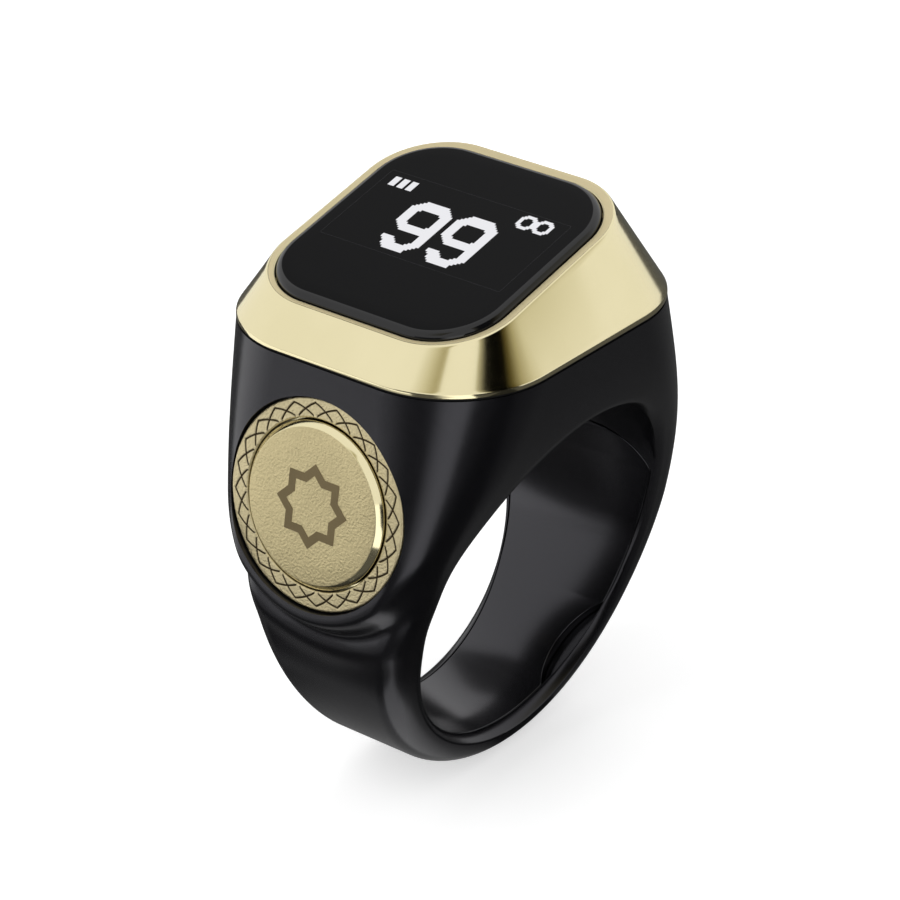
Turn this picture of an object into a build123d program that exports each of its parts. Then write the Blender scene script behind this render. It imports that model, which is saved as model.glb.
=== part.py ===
"""Finger-ring tally counter: a signet ring with a tilted display and a thumb button.

The origin is the centre of the finger bore, +Y runs along the finger, +Z points at the
display and the button faces -X. All lengths are millimetres.
"""

import os
from math import cos, radians, sin, tan

from build123d import *

os.makedirs("parts", exist_ok=True)

# Fits and cutting allowances
overrun = 1.0            # how far a cut runs past what it cuts
glue_gap = 0.05          # between pieces that are glued or snapped together
running_gap = 0.03       # radial gap of a sliding shaft in its hole
free_gap = 0.1           # radial gap between the button cap and its trim ring
inner_gap = 0.3          # clearance around the pieces inside the head

# Finger bore and band
finger_r = 10.0
band_wall = 2.4          # wall of the band level with the finger axis
foot_wall = 1.8          # wall at the bottom
band_r = finger_r + band_wall
band_edge_r = 1.4        # rounding of the band's outer edges
foot_half_y = 3.55       # half width of the band at the bottom
shin_half_y = 4.25
waist_half_y = 5.3       # half width level with the finger axis
shin_share = -0.45       # height of the shin as a share of the band radius

# Head, from the finger axis up to the bezel
crown_h = 4.95           # bezel seat above the roof of the bore
hip_share = 0.34         # heights of the two stations between waist and head
shoulder_share = 0.69
head_half_y = 9.4
hip_flare_share = 0.3415  # how far each station has opened out from waist to head
shoulder_flare_share = 0.7805
hip_draw = 0.55          # +X side drawn in from the band's radius
shoulder_draw = 1.9
head_draw = 3.15
hip_back = 0.2           # -X side drawn in from the band's radius
shoulder_back = 0.5
head_back = 0.9
hip_corner_r = 2.2
shoulder_corner_r = 4.0
head_corner_r = 6.0

# Rim of the finger bore
lip_w = 0.85             # lip that holds the liner, front face to liner

# Snap-in sizing liner
liner_wall = 0.6
liner_top_share = 0.445   # upper ends of the liner as a share of the bore radius
liner_corner_r = 4.0
notch_r = 4.5            # fingernail scoop in the liner's front edge
notch_y = 6.6            # centre of the scoop's circle in front of the finger axis
notch_angle = -57.0

# Button housing on the -X side
button_tilt = 10.2       # how far the button faces upwards, degrees
button_drop = 7.25       # button centre below the bezel seat
seat_recess = 0.28       # trim ring face below the housing face
lip_r = 6.7              # rounded lower end of the housing
lip_spread = 35.0        # where the lip leaves its arc, degrees below level
boss_inset = 0.06        # housing sides inside the head's sides

# Button pieces, depths measured inwards from the trim ring's face
trim_r = 5.71
trim_hole_r = 4.62
trim_t = 0.7
trim_chamfer = 0.12
cap_proud = 0.34
cap_chamfer = 0.3
flange_r = 4.98
flange_t = 0.3
button_travel = 0.4
stop_gap = 0.08          # left under the flange when the button is down
well_r = 2.55
stem_r = 1.0
nose_r = 0.6
spigot_len = 0.45        # stem end pressed into the cap
spring_t = 0.2
spring_top_r = 1.5
spring_slot_w = 0.5
spring_slot_count = 4
washer_t = 0.15
well_depth = 0.7         # spring well below the flange pocket
seal_t = 0.28
guide_len = 0.3
switch_t = 0.67
switch_w = 3.0
switch_h = 2.6
switch_top_gap = 0.15
plunger_r = 0.7
plunger_proud = 0.1
plunger_len = 0.2
nose_gap = 0.02
flex_t = 0.12
flex_w = 2.0

# Cavity in the head
wall_left = 2.8
wall_right = 2.05
wall_side = 1.8
cavity_corner_r = 1.6
roof_wall = 1.6          # between the bore and the cavity floor
post_r = 1.3
post_inset = 1.25        # post centre from the cavity walls
screw_r = 0.4
screw_head_r = 0.75
screw_head_t = 0.25
screw_len = 1.8

# Display, in its own tilted plane
display_tilt = 13.5
display_back = 1.295     # glass centre from the middle of the head, towards the button
display_rise = 4.33      # glass centre above the bezel seat
glass_x = 14.66
glass_setback = 2.33     # glass edge inside the head's sides
glass_corner_r = 3.7
glass_t = 1.2
glass_edge_r = 0.45
glass_proud = 0.35
land_w = 0.58            # flat of the bezel round the glass
land_shift = 0.15
window_x = 12.0          # opening of the bezel under the glass
ledge_w = 0.87           # ledge under the glass along its sides
window_corner_r = 0.6
gasket_t = 0.12
oled_x = 9.6
oled_gap = 0.2
oled_t = 1.0
oled_shift = 0.8
oled_flex_w = 6.0

# Board, cell and charging pins
board_t = 0.6
board_rise = 2.55        # underside of the board above the cavity floor
cell_x = 10.5
cell_gap = 0.3           # between the cell and the pin bushes
cell_mid_x = -0.6
cell_edge_r = 0.5
pad_t = 0.15
cell_top_gap = 0.2
pin_inset = 1.7          # pin centre from the cavity's side wall
pin_r = 0.5
pin_pad_r = 0.9
pin_pad_t = 0.5
bush_r = 1.3
bush_proud = 0.3
motor_r = 3.0
motor_t = 1.8
motor_x = 0.9
motor_y = -1.55
chip_w = 3.0
chip_t = 0.8
chip_x = 1.6
chip_gap = 0.15          # between the motor and the chip
antenna_len = 3.2
antenna_w = 1.2
antenna_t = 0.9
antenna_x = -3.4
antenna_inset = 1.0      # antenna centre from the edge of the window
passive_len = 1.0
passive_w = 0.5
passive_t = 0.5
passive_pitch = 1.6
passive_count = 4
passive_x = -3.6

# Derived places
head_z = finger_r + crown_h
hip_half_y = waist_half_y + hip_flare_share * (head_half_y - waist_half_y)
shoulder_half_y = waist_half_y + shoulder_flare_share * (head_half_y - waist_half_y)
hip_right_x = band_r - hip_draw
shoulder_right_x = band_r - shoulder_draw
head_right_x = band_r - head_draw
hip_left_x = hip_back - band_r
shoulder_left_x = shoulder_back - band_r
head_left_x = head_back - band_r
head_mid_x = (head_left_x + head_right_x) / 2
button_z = head_z - button_drop
boss_depth = 2 * head_corner_r + overrun
cavity_left_x = head_left_x + wall_left
cavity_right_x = head_right_x - wall_right
cavity_half_y = head_half_y - wall_side
cavity_floor_z = finger_r + roof_wall
board_z = cavity_floor_z + board_rise
display_x = head_mid_x - display_back
display_z = head_z + display_rise
pin_y = cavity_half_y - pin_inset
cell_y = 2 * (pin_y - bush_r - cell_gap)
glass_y = 2 * (head_half_y - glass_setback)
window_y = glass_y - 2 * ledge_w
oled_y = window_y - 2 * oled_gap
chip_y = motor_y + motor_r + chip_gap + chip_w / 2
antenna_y = window_y / 2 - antenna_inset
hip_z = hip_share * head_z
shoulder_z = shoulder_share * head_z
shin_z = shin_share * band_r
foot_r = finger_r + foot_wall
round_r = (band_r ** 2 + foot_r ** 2) / (2 * foot_r)
tilt_sin = sin(radians(button_tilt))
tilt_cos = cos(radians(button_tilt))
boss_x = head_left_x - (head_z - button_z) * tan(radians(button_tilt))
trim_x = boss_x + seat_recess * tilt_cos
trim_z = button_z - seat_recess * tilt_sin
liner_out_r = finger_r + liner_wall
groove_r = liner_out_r + glue_gap
liner_top_z = liner_top_share * finger_r

# The button plane lies on the trim ring's face, with its Z outwards and its Y up the face
button_plane = Plane(origin=(trim_x, 0, trim_z), x_dir=(0, -1, 0), z_dir=(-tilt_cos, 0, tilt_sin))

# The display plane lies on the glass, with its X uphill and its Z out of the glass
slope_sin = sin(radians(display_tilt))
slope_cos = cos(radians(display_tilt))
display_plane = Plane(
    origin=(display_x, 0, display_z), x_dir=(slope_cos, 0, slope_sin), z_dir=(-slope_sin, 0, slope_cos)
)

# Depths inwards from the trim ring's face
flange_top = trim_t + nose_gap
flange_end = flange_top + flange_t
pocket_end = flange_end + button_travel + stop_gap
well_end = pocket_end + well_depth
washer_top = well_end - washer_t
gland_end = well_end + seal_t + nose_gap
guide_end = gland_end + guide_len
switch_top = guide_end + switch_top_gap
switch_end = switch_top + switch_t
bay_end = switch_end + flex_t
plunger_top = switch_top - plunger_proud
stem_end = plunger_top - nose_gap
stem_shoulder = guide_end - guide_len
cap_r = trim_hole_r - free_gap
pocket_r = flange_r + (trim_r - flange_r) / 5
gland_r = stem_r + running_gap + seal_t + 2 * nose_gap
bezel_z = head_z + gasket_t
board_top = board_z + board_t
cell_z = cavity_floor_z + pad_t
cell_t = board_z - cell_z - cell_top_gap
cavity_x = (cavity_left_x + cavity_right_x) / 2
cavity_len = cavity_right_x - cavity_left_x
post_places = [
    (cavity_left_x + post_inset, cavity_half_y - post_inset),
    (cavity_right_x - post_inset, post_inset - cavity_half_y),
    (cavity_left_x + post_inset, post_inset - cavity_half_y),
    (cavity_right_x - post_inset, cavity_half_y - post_inset),
]
screw_places = post_places[:2]
pin_places = [(0, pin_y), (0, -pin_y)]
ledge_depth = glass_t + gasket_t


def side_face(inset):
    """Band seen along X, from below its foot up to the hip, with its sides set in by inset."""
    with BuildSketch(Plane.YZ) as outline:
        with BuildLine():
            edge = Spline(
                (foot_half_y - inset, -band_r),
                (shin_half_y - inset, shin_z),
                (waist_half_y - inset, 0),
                (hip_half_y - inset, hip_z),
            )
            Line(edge @ 1, (0, hip_z))
            Line((0, hip_z), (0, -band_r - overrun))
            Line((0, -band_r - overrun), (foot_half_y - inset, -band_r - overrun))
            Line((foot_half_y - inset, -band_r - overrun), edge @ 0)
        make_face()
        mirror(about=Plane.YZ)
    return outline.sketch


def tongue_face(inset, top):
    """Rounded upper ends of the liner seen along X, ending at top."""
    with BuildSketch(Plane.YZ) as outline:
        with Locations((0, top - band_r)):
            RectangleRounded(2 * (hip_half_y - inset), 2 * band_r, liner_corner_r)
    return outline.sketch


def underside_z(x):
    """Height of the panel's tilted underside at x."""
    return display_z + (x - display_x) * slope_sin / slope_cos - (glass_t + oled_t) / slope_cos


# Lower half of the band, with rounded outer edges
with BuildPart() as band_half:
    with BuildSketch(Plane.XZ):
        with Locations((0, round_r - foot_r)):
            Circle(round_r)
        with Locations((0, band_r)):
            Rectangle(3 * band_r, 2 * band_r, mode=Mode.SUBTRACT)
    extrude(amount=head_half_y, both=True)
    extrude(side_face(0), amount=2 * band_r, both=True, mode=Mode.INTERSECT)
    outer = band_half.faces().filter_by(GeomType.CYLINDER)
    fillet(outer.edges().filter_by(GeomType.LINE, reverse=True), band_edge_r)

# Head from the waist up to the bezel, its corners opening out
stations = [
    (0, -band_r, band_r, waist_half_y, band_edge_r),
    (hip_z, hip_left_x, hip_right_x, hip_half_y, hip_corner_r),
    (shoulder_z, shoulder_left_x, shoulder_right_x, shoulder_half_y, shoulder_corner_r),
    (head_z, head_left_x, head_right_x, head_half_y, head_corner_r),
]
with BuildPart() as head_core:
    with BuildSketch(Plane.XY):
        add(band_half.faces().sort_by(Axis.Z)[-1])
    for z, left, right, half_y, corner in stations[1:]:
        with BuildSketch(Plane.XY.offset(z)):
            with Locations(((left + right) / 2, 0)):
                RectangleRounded(right - left, 2 * half_y, corner)
    loft()

# Button housing: the same corners on a flat sloping face, ending below in a round lip
with BuildPart() as button_boss:
    for z, left, right, half_y, corner in stations:
        face_x = boss_x + (z - button_z) * tan(radians(button_tilt))
        with BuildSketch(Plane.XY.offset(z)):
            with Locations((face_x + boss_depth / 2, 0)):
                RectangleRounded(boss_depth, 2 * (half_y - boss_inset), corner)
    loft()
    with BuildSketch(button_plane.offset(-boss_depth)):
        with BuildLine():
            low = CenterArc((0, 0), lip_r, -lip_spread, 2 * lip_spread - 180)
            right_run = PolarLine(low @ 0, head_z, 90 - lip_spread)
            left_run = PolarLine(low @ 1, head_z, 90 + lip_spread)
            Polyline(right_run @ 1, (2 * band_r, -2 * band_r), (-2 * band_r, -2 * band_r), left_run @ 1)
        make_face()
    extrude(amount=2 * boss_depth, mode=Mode.SUBTRACT)

# Groove that the sizing liner snaps into
with BuildPart() as liner_groove:
    with BuildSketch(Plane.XZ):
        Circle(groove_r)
    extrude(amount=head_half_y, both=True)
    extrude(side_face(lip_w), amount=band_r, both=True, mode=Mode.INTERSECT)
    extrude(tongue_face(lip_w, liner_top_z + glue_gap), amount=band_r, both=True, mode=Mode.INTERSECT)

with BuildPart() as ring_body:
    add(head_core.part)
    add(band_half.part)
    add(button_boss.part)
    # finger bore and the groove for the liner
    with BuildSketch(Plane.XZ):
        Circle(finger_r)
    extrude(amount=2 * head_half_y, both=True, mode=Mode.SUBTRACT)
    add(liner_groove.part, mode=Mode.SUBTRACT)
    # electronics cavity with four board posts
    with BuildSketch(Plane.XY.offset(cavity_floor_z)):
        with Locations((cavity_x, 0)):
            RectangleRounded(cavity_len, 2 * cavity_half_y, cavity_corner_r)
        with Locations(*post_places):
            Circle(post_r, mode=Mode.SUBTRACT)
    extrude(amount=head_z - cavity_floor_z + overrun, mode=Mode.SUBTRACT)
    with BuildSketch(Plane.XY.offset(board_z)):
        with Locations((cavity_x, 0)):
            RectangleRounded(cavity_len, 2 * cavity_half_y, cavity_corner_r)
    extrude(amount=head_z - board_z + overrun, mode=Mode.SUBTRACT)
    with BuildSketch(Plane.XY.offset(board_z)):
        with Locations(*screw_places):
            Circle(screw_r)
    extrude(amount=-screw_len, mode=Mode.SUBTRACT)
    # holes for the charging pin bushes
    with BuildSketch(Plane.XY):
        with Locations(*pin_places):
            Circle(bush_r + glue_gap)
    extrude(amount=head_z, mode=Mode.SUBTRACT)
    # stepped bore of the button, the switch bay and its cable channel
    steps = [
        (trim_r + glue_gap, -seat_recess - overrun, trim_t),
        (pocket_r, trim_t - nose_gap, pocket_end),
        (well_r, pocket_end - nose_gap, well_end),
        (gland_r, well_end - nose_gap, gland_end),
        (stem_r + running_gap, gland_end - nose_gap, guide_end + nose_gap),
    ]
    for radius, start, end in steps:
        with BuildSketch(button_plane.offset(-end)):
            Circle(radius)
        extrude(amount=end - start, mode=Mode.SUBTRACT)
    with BuildSketch(button_plane.offset(-bay_end)):
        Rectangle(switch_w + 2 * glue_gap, switch_h + 2 * glue_gap)
    extrude(amount=bay_end - guide_end, mode=Mode.SUBTRACT)
    with BuildSketch(button_plane.offset(-bay_end)):
        with Locations((0, cavity_floor_z / 2)):
            Rectangle(flex_w + 2 * glue_gap, cavity_floor_z)
    extrude(amount=inner_gap, mode=Mode.SUBTRACT)
ring_body.part.label = "ring_body"
export_step(ring_body.part, "parts/ring_body.step")

with BuildPart() as sizing_liner:
    with BuildSketch(Plane.XZ):
        Circle(liner_out_r)
        Circle(finger_r, mode=Mode.SUBTRACT)
    extrude(amount=head_half_y, both=True)
    extrude(side_face(lip_w + glue_gap), amount=band_r, both=True, mode=Mode.INTERSECT)
    extrude(tongue_face(lip_w + glue_gap, liner_top_z), amount=band_r, both=True, mode=Mode.INTERSECT)
    scoop_dir = (cos(radians(notch_angle)), 0, sin(radians(notch_angle)))
    with BuildSketch(Plane(origin=(0, -notch_y, 0), x_dir=(0, 1, 0), z_dir=scoop_dir)):
        Circle(notch_r)
    extrude(amount=band_r, mode=Mode.SUBTRACT)
sizing_liner.part.label = "sizing_liner"
export_step(sizing_liner.part, "parts/sizing_liner.step")

# Bezel: a wedge from the level head to the tilted glass
with BuildPart() as bezel:
    with BuildSketch(Plane.XY.offset(bezel_z)):
        with Locations((head_mid_x, 0)):
            RectangleRounded(head_right_x - head_left_x, 2 * head_half_y, head_corner_r)
    with BuildSketch(display_plane.offset(-glass_proud)):
        with Locations((land_shift, 0)):
            RectangleRounded(glass_x + 2 * land_w, glass_y + 2 * land_w, glass_corner_r + land_w)
    loft(ruled=True)
    with BuildSketch(display_plane.offset(-ledge_depth)):
        RectangleRounded(glass_x + 2 * glue_gap, glass_y + 2 * glue_gap, glass_corner_r + glue_gap)
    extrude(amount=ledge_depth, mode=Mode.SUBTRACT)
    with BuildSketch(display_plane.offset(-ledge_depth + nose_gap)):
        RectangleRounded(window_x, window_y, window_corner_r)
    extrude(amount=-display_z, mode=Mode.SUBTRACT)
bezel.part.label = "bezel"
export_step(bezel.part, "parts/bezel.step")

with BuildPart() as bezel_gasket:
    with BuildSketch(Plane.XY.offset(head_z)):
        with Locations((head_mid_x, 0)):
            RectangleRounded(
                head_right_x - head_left_x - 2 * gasket_t,
                2 * (head_half_y - gasket_t),
                head_corner_r - gasket_t,
            )
        with Locations((cavity_x, 0)):
            RectangleRounded(cavity_len, 2 * cavity_half_y, cavity_corner_r, mode=Mode.SUBTRACT)
    extrude(amount=gasket_t)
bezel_gasket.part.label = "bezel_gasket"
export_step(bezel_gasket.part, "parts/bezel_gasket.step")

with BuildPart() as display_glass:
    with BuildSketch(display_plane.offset(-glass_t)):
        RectangleRounded(glass_x, glass_y, glass_corner_r)
    extrude(amount=glass_t)
    fillet(display_glass.faces().sort_by(Axis(display_plane.origin, display_plane.z_dir))[-1].edges(), glass_edge_r)
display_glass.part.label = "display_glass"
export_step(display_glass.part, "parts/display_glass.step")

with BuildPart() as glass_gasket:
    with BuildSketch(display_plane.offset(-ledge_depth)):
        RectangleRounded(glass_x - 2 * glue_gap, glass_y - 2 * glue_gap, glass_corner_r - glue_gap)
        RectangleRounded(
            window_x + 2 * glue_gap, window_y + 2 * glue_gap, window_corner_r + glue_gap, mode=Mode.SUBTRACT
        )
    extrude(amount=gasket_t)
glass_gasket.part.label = "glass_gasket"
export_step(glass_gasket.part, "parts/glass_gasket.step")

with BuildPart() as oled_panel:
    with BuildSketch(display_plane.offset(-glass_t)):
        with Locations((oled_shift, 0)):
            Rectangle(oled_x, oled_y)
    extrude(amount=-oled_t)
oled_panel.part.label = "oled_panel"
export_step(oled_panel.part, "parts/oled_panel.step")

flex_x = display_x + (oled_shift - oled_x / 2) * slope_cos + (glass_t + oled_t) * slope_sin + inner_gap
with BuildPart() as oled_flex:
    with BuildSketch(Plane.XZ):
        with BuildLine():
            Polyline(
                (flex_x, board_top),
                (flex_x + flex_t, board_top),
                (flex_x + flex_t, underside_z(flex_x + flex_t)),
                (flex_x, underside_z(flex_x)),
                close=True,
            )
        make_face()
    extrude(amount=oled_flex_w / 2, both=True)
oled_flex.part.label = "oled_flex"
export_step(oled_flex.part, "parts/oled_flex.step")

with BuildPart() as main_board:
    with BuildSketch(Plane.XY.offset(board_z)):
        with Locations((cavity_x, 0)):
            RectangleRounded(
                cavity_len - 2 * inner_gap, 2 * (cavity_half_y - inner_gap), cavity_corner_r - inner_gap
            )
        with Locations(*screw_places):
            Circle(screw_r, mode=Mode.SUBTRACT)
    extrude(amount=board_t)
main_board.part.label = "main_board"
export_step(main_board.part, "parts/main_board.step")

with BuildPart() as board_screws:
    with BuildSketch(Plane.XY.offset(board_top)):
        with Locations(*screw_places):
            Circle(screw_head_r)
    extrude(amount=screw_head_t)
    with BuildSketch(Plane.XY.offset(board_top)):
        with Locations(*screw_places):
            Circle(screw_r - running_gap)
    extrude(amount=inner_gap - screw_len)
    with BuildSketch(Plane.XY.offset(board_top + screw_head_t)):
        with Locations(*screw_places):
            Rectangle(2 * screw_head_r, screw_head_t / 2)
    extrude(amount=-screw_head_t / 2, mode=Mode.SUBTRACT)
board_screws.part.label = "board_screws"
export_step(board_screws.part, "parts/board_screws.step")

with BuildPart() as battery_pad:
    with BuildSketch(Plane.XY.offset(cavity_floor_z)):
        with Locations((cell_mid_x, 0)):
            Rectangle(cell_x - 2 * cell_edge_r, cell_y - 2 * cell_edge_r)
    extrude(amount=pad_t)
battery_pad.part.label = "battery_pad"
export_step(battery_pad.part, "parts/battery_pad.step")

with BuildPart() as battery_cell:
    with BuildSketch(Plane.XY.offset(cell_z)):
        with Locations((cell_mid_x, 0)):
            Rectangle(cell_x, cell_y)
    extrude(amount=cell_t)
    fillet(battery_cell.edges().filter_by(Axis.X), cell_edge_r)
battery_cell.part.label = "battery_cell"
export_step(battery_cell.part, "parts/battery_cell.step")

with BuildPart() as charge_pins:
    with BuildSketch(Plane.XY):
        with Locations(*pin_places):
            Circle(pin_pad_r)
    extrude(amount=finger_r + pin_pad_t)
    with BuildSketch(Plane.XY):
        with Locations(*pin_places):
            Circle(pin_r)
    extrude(amount=board_z)
    with BuildSketch(Plane.XZ):
        Circle(finger_r)
    extrude(amount=head_half_y, both=True, mode=Mode.SUBTRACT)
charge_pins.part.label = "charge_pins"
export_step(charge_pins.part, "parts/charge_pins.step")

with BuildPart() as pin_bushes:
    with BuildSketch(Plane.XY):
        with Locations(*pin_places):
            Circle(bush_r)
            Circle(pin_r + glue_gap, mode=Mode.SUBTRACT)
    extrude(amount=cavity_floor_z + bush_proud)
    with BuildSketch(Plane.XY):
        with Locations(*pin_places):
            Circle(pin_pad_r + glue_gap)
    extrude(amount=finger_r + pin_pad_t + glue_gap, mode=Mode.SUBTRACT)
    with BuildSketch(Plane.XZ):
        Circle(finger_r)
    extrude(amount=head_half_y, both=True, mode=Mode.SUBTRACT)
pin_bushes.part.label = "pin_bushes"
export_step(pin_bushes.part, "parts/pin_bushes.step")

with BuildPart() as vibration_motor:
    with BuildSketch(Plane.XY.offset(board_top)):
        with Locations((motor_x, motor_y)):
            Circle(motor_r)
    extrude(amount=motor_t)
    chamfer(vibration_motor.faces().sort_by(Axis.Z)[-1].edges(), spring_t)
vibration_motor.part.label = "vibration_motor"
export_step(vibration_motor.part, "parts/vibration_motor.step")

with BuildPart() as controller_chip:
    with BuildSketch(Plane.XY.offset(board_top)):
        with Locations((chip_x, chip_y)):
            Rectangle(chip_w, chip_w)
    extrude(amount=chip_t)
controller_chip.part.label = "controller_chip"
export_step(controller_chip.part, "parts/controller_chip.step")

with BuildPart() as radio_antenna:
    with BuildSketch(Plane.XY.offset(board_top)):
        with Locations((antenna_x, antenna_y)):
            Rectangle(antenna_len, antenna_w)
    extrude(amount=antenna_t)
radio_antenna.part.label = "radio_antenna"
export_step(radio_antenna.part, "parts/radio_antenna.step")

with BuildPart() as board_passives:
    with BuildSketch(Plane.XY.offset(board_top)):
        with Locations((passive_x, 0)):
            with GridLocations(passive_pitch, passive_pitch, 1, passive_count):
                Rectangle(passive_len, passive_w)
    extrude(amount=passive_t)
board_passives.part.label = "board_passives"
export_step(board_passives.part, "parts/board_passives.step")

# Button, from the outside inwards
with BuildPart() as button_trim_ring:
    with BuildSketch(button_plane.offset(-trim_t)):
        Circle(trim_r)
        Circle(trim_hole_r, mode=Mode.SUBTRACT)
    extrude(amount=trim_t)
    face_edges = button_trim_ring.faces().sort_by(Axis(button_plane.origin, button_plane.z_dir))[-1].edges()
    chamfer(face_edges, trim_chamfer)
button_trim_ring.part.label = "button_trim_ring"
export_step(button_trim_ring.part, "parts/button_trim_ring.step")

with BuildPart() as button_cap:
    with BuildSketch(button_plane.offset(-flange_top)):
        Circle(cap_r)
    extrude(amount=flange_top + cap_proud)
    crown = button_cap.faces().sort_by(Axis(button_plane.origin, button_plane.z_dir))[-1]
    chamfer(crown.edges(), cap_chamfer)
    with BuildSketch(button_plane.offset(-flange_end)):
        Circle(flange_r)
    extrude(amount=flange_t)
    with BuildSketch(button_plane.offset(-flange_end)):
        Circle(nose_r + running_gap)
    extrude(amount=spigot_len + nose_gap, mode=Mode.SUBTRACT)
button_cap.part.label = "button_cap"
export_step(button_cap.part, "parts/button_cap.step")

with BuildPart() as button_stem:
    with BuildSketch(button_plane.offset(-stem_end)):
        Circle(nose_r)
    extrude(amount=stem_end - flange_end + spigot_len)
    with BuildSketch(button_plane.offset(-stem_shoulder)):
        Circle(stem_r)
    extrude(amount=stem_shoulder - flange_end)
button_stem.part.label = "button_stem"
export_step(button_stem.part, "parts/button_stem.step")

# Conical return spring, slotted into fingers that stand on the gland washer
with BuildPart() as button_spring:
    with BuildSketch(button_plane.offset(-washer_top)):
        Circle(well_r - spring_t)
    with BuildSketch(button_plane.offset(-flange_end)):
        Circle(spring_top_r)
    loft()
    with BuildSketch(button_plane.offset(-washer_top)):
        Circle(well_r - 2 * spring_t)
    with BuildSketch(button_plane.offset(-flange_end)):
        Circle(spring_top_r - spring_t)
    loft(mode=Mode.SUBTRACT)
    with BuildSketch(button_plane.offset(-washer_top)):
        with PolarLocations(well_r, spring_slot_count):
            Rectangle(2 * (well_r - spring_top_r), spring_slot_w)
    extrude(amount=washer_top - flange_end - spring_t, mode=Mode.SUBTRACT)
button_spring.part.label = "button_spring"
export_step(button_spring.part, "parts/button_spring.step")

with BuildPart() as gland_washer:
    with BuildSketch(button_plane.offset(-well_end)):
        Circle(well_r - glue_gap)
        Circle(stem_r + running_gap, mode=Mode.SUBTRACT)
    extrude(amount=washer_t)
gland_washer.part.label = "gland_washer"
export_step(gland_washer.part, "parts/gland_washer.step")

with BuildPart() as stem_seal:
    with Locations(button_plane.offset(-(well_end + gland_end) / 2)):
        Torus(stem_r + running_gap + seal_t / 2, seal_t / 2)
stem_seal.part.label = "stem_seal"
export_step(stem_seal.part, "parts/stem_seal.step")

with BuildPart() as switch_body:
    with BuildSketch(button_plane.offset(-switch_end)):
        Rectangle(switch_w, switch_h)
    extrude(amount=switch_t)
    with BuildSketch(button_plane.offset(-plunger_top - plunger_len - button_travel - stop_gap)):
        Circle(plunger_r + glue_gap)
    extrude(amount=switch_t, mode=Mode.SUBTRACT)
switch_body.part.label = "switch_body"
export_step(switch_body.part, "parts/switch_body.step")

with BuildPart() as switch_plunger:
    with BuildSketch(button_plane.offset(-plunger_top - plunger_len)):
        Circle(plunger_r)
    extrude(amount=plunger_len)
switch_plunger.part.label = "switch_plunger"
export_step(switch_plunger.part, "parts/switch_plunger.step")

# Flat cable from the switch up to the board's underside
cable_top = (board_z - trim_z + switch_end * tilt_sin) / tilt_cos
with BuildPart() as switch_flex:
    with BuildSketch(button_plane.offset(-bay_end)):
        with Locations((0, (cable_top - switch_h / 2) / 2)):
            Rectangle(flex_w, cable_top + switch_h / 2)
    extrude(amount=flex_t)
switch_flex.part.label = "switch_flex"
export_step(switch_flex.part, "parts/switch_flex.step")
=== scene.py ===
"""Finger-ring tally counter, dressed for its studio view.

The frame is the CAD one: the origin is the centre of the finger bore, +Y runs along the finger, +Z points
at the display and the button faces -X. Sizes in the classes are millimetres, meshes are metres.
"""

import logging
import math
from dataclasses import dataclass
from enum import Enum
from typing import Callable, Optional, Sequence

import bpy
import numpy as np
from mathutils import Matrix

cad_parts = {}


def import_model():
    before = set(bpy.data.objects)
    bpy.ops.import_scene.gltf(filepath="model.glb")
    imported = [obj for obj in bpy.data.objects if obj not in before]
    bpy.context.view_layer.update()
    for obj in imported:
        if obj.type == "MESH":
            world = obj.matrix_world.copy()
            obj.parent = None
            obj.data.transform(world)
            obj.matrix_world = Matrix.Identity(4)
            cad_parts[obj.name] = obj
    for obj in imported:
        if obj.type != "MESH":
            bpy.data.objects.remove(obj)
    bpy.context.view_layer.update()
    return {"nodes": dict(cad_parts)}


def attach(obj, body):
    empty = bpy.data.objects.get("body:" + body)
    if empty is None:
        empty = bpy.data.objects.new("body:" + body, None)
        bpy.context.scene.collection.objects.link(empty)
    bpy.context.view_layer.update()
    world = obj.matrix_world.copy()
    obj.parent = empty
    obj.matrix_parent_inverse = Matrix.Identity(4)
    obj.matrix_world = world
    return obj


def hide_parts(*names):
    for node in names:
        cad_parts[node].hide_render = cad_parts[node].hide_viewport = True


LOG = logging.getLogger("ring_scene")
MM = 0.001
Array = np.ndarray
Pair = tuple[float, float]
Triple = tuple[float, float, float]
Stops = tuple[Pair, ...]


class Body(Enum):
    """The CAD bodies that new pieces ride on."""

    RING = "ring"
    BUTTON = "button"


# Curves and grids


def smootherstep(t: Array) -> Array:
    """Quintic ease from 0 to 1: 6t^5 - 15t^4 + 10t^3 on t held between 0 and 1.

    Args:
        t: Any array.

    Returns:
        The eased values.
    """
    c = np.clip(t, 0.0, 1.0)
    return c * c * c * (c * (c * 6.0 - 15.0) + 10.0)


def natural_spline(xs: Sequence[float], ys: Sequence[float]) -> Callable[[Array], Array]:
    """Cubic spline through the given points with no curvature at its two ends.

    Args:
        xs: Rising abscissae.
        ys: Values there.

    Returns:
        A function that evaluates the spline on an array, and carries its end cubics on past the ends.
    """
    x = np.asarray(xs, float)
    y = np.asarray(ys, float)
    n = len(x)
    h = np.diff(x)
    system = np.eye(n)
    right = np.zeros(n)
    inner = np.arange(1, n - 1)
    system[inner, inner - 1] = h[:-1]
    system[inner, inner] = 2.0 * (h[:-1] + h[1:])
    system[inner, inner + 1] = h[1:]
    right[1:-1] = 6.0 * (np.diff(y[1:]) / h[1:] - np.diff(y[:-1]) / h[:-1])
    curvature = np.linalg.solve(system, right)

    def evaluate(at: Array) -> Array:
        """Piecewise cubic between the two knots on each side of every value.

        Args:
            at: Where to evaluate.

        Returns:
            The spline's values.
        """
        at = np.asarray(at, float)
        k = np.clip(np.searchsorted(x, at) - 1, 0, n - 2)
        a = (x[k + 1] - at) / h[k]
        b = (at - x[k]) / h[k]
        cubic = ((a ** 3 - a) * curvature[k] + (b ** 3 - b) * curvature[k + 1]) * h[k] ** 2 / 6.0
        return a * y[k] + b * y[k + 1] + cubic

    return evaluate


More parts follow.
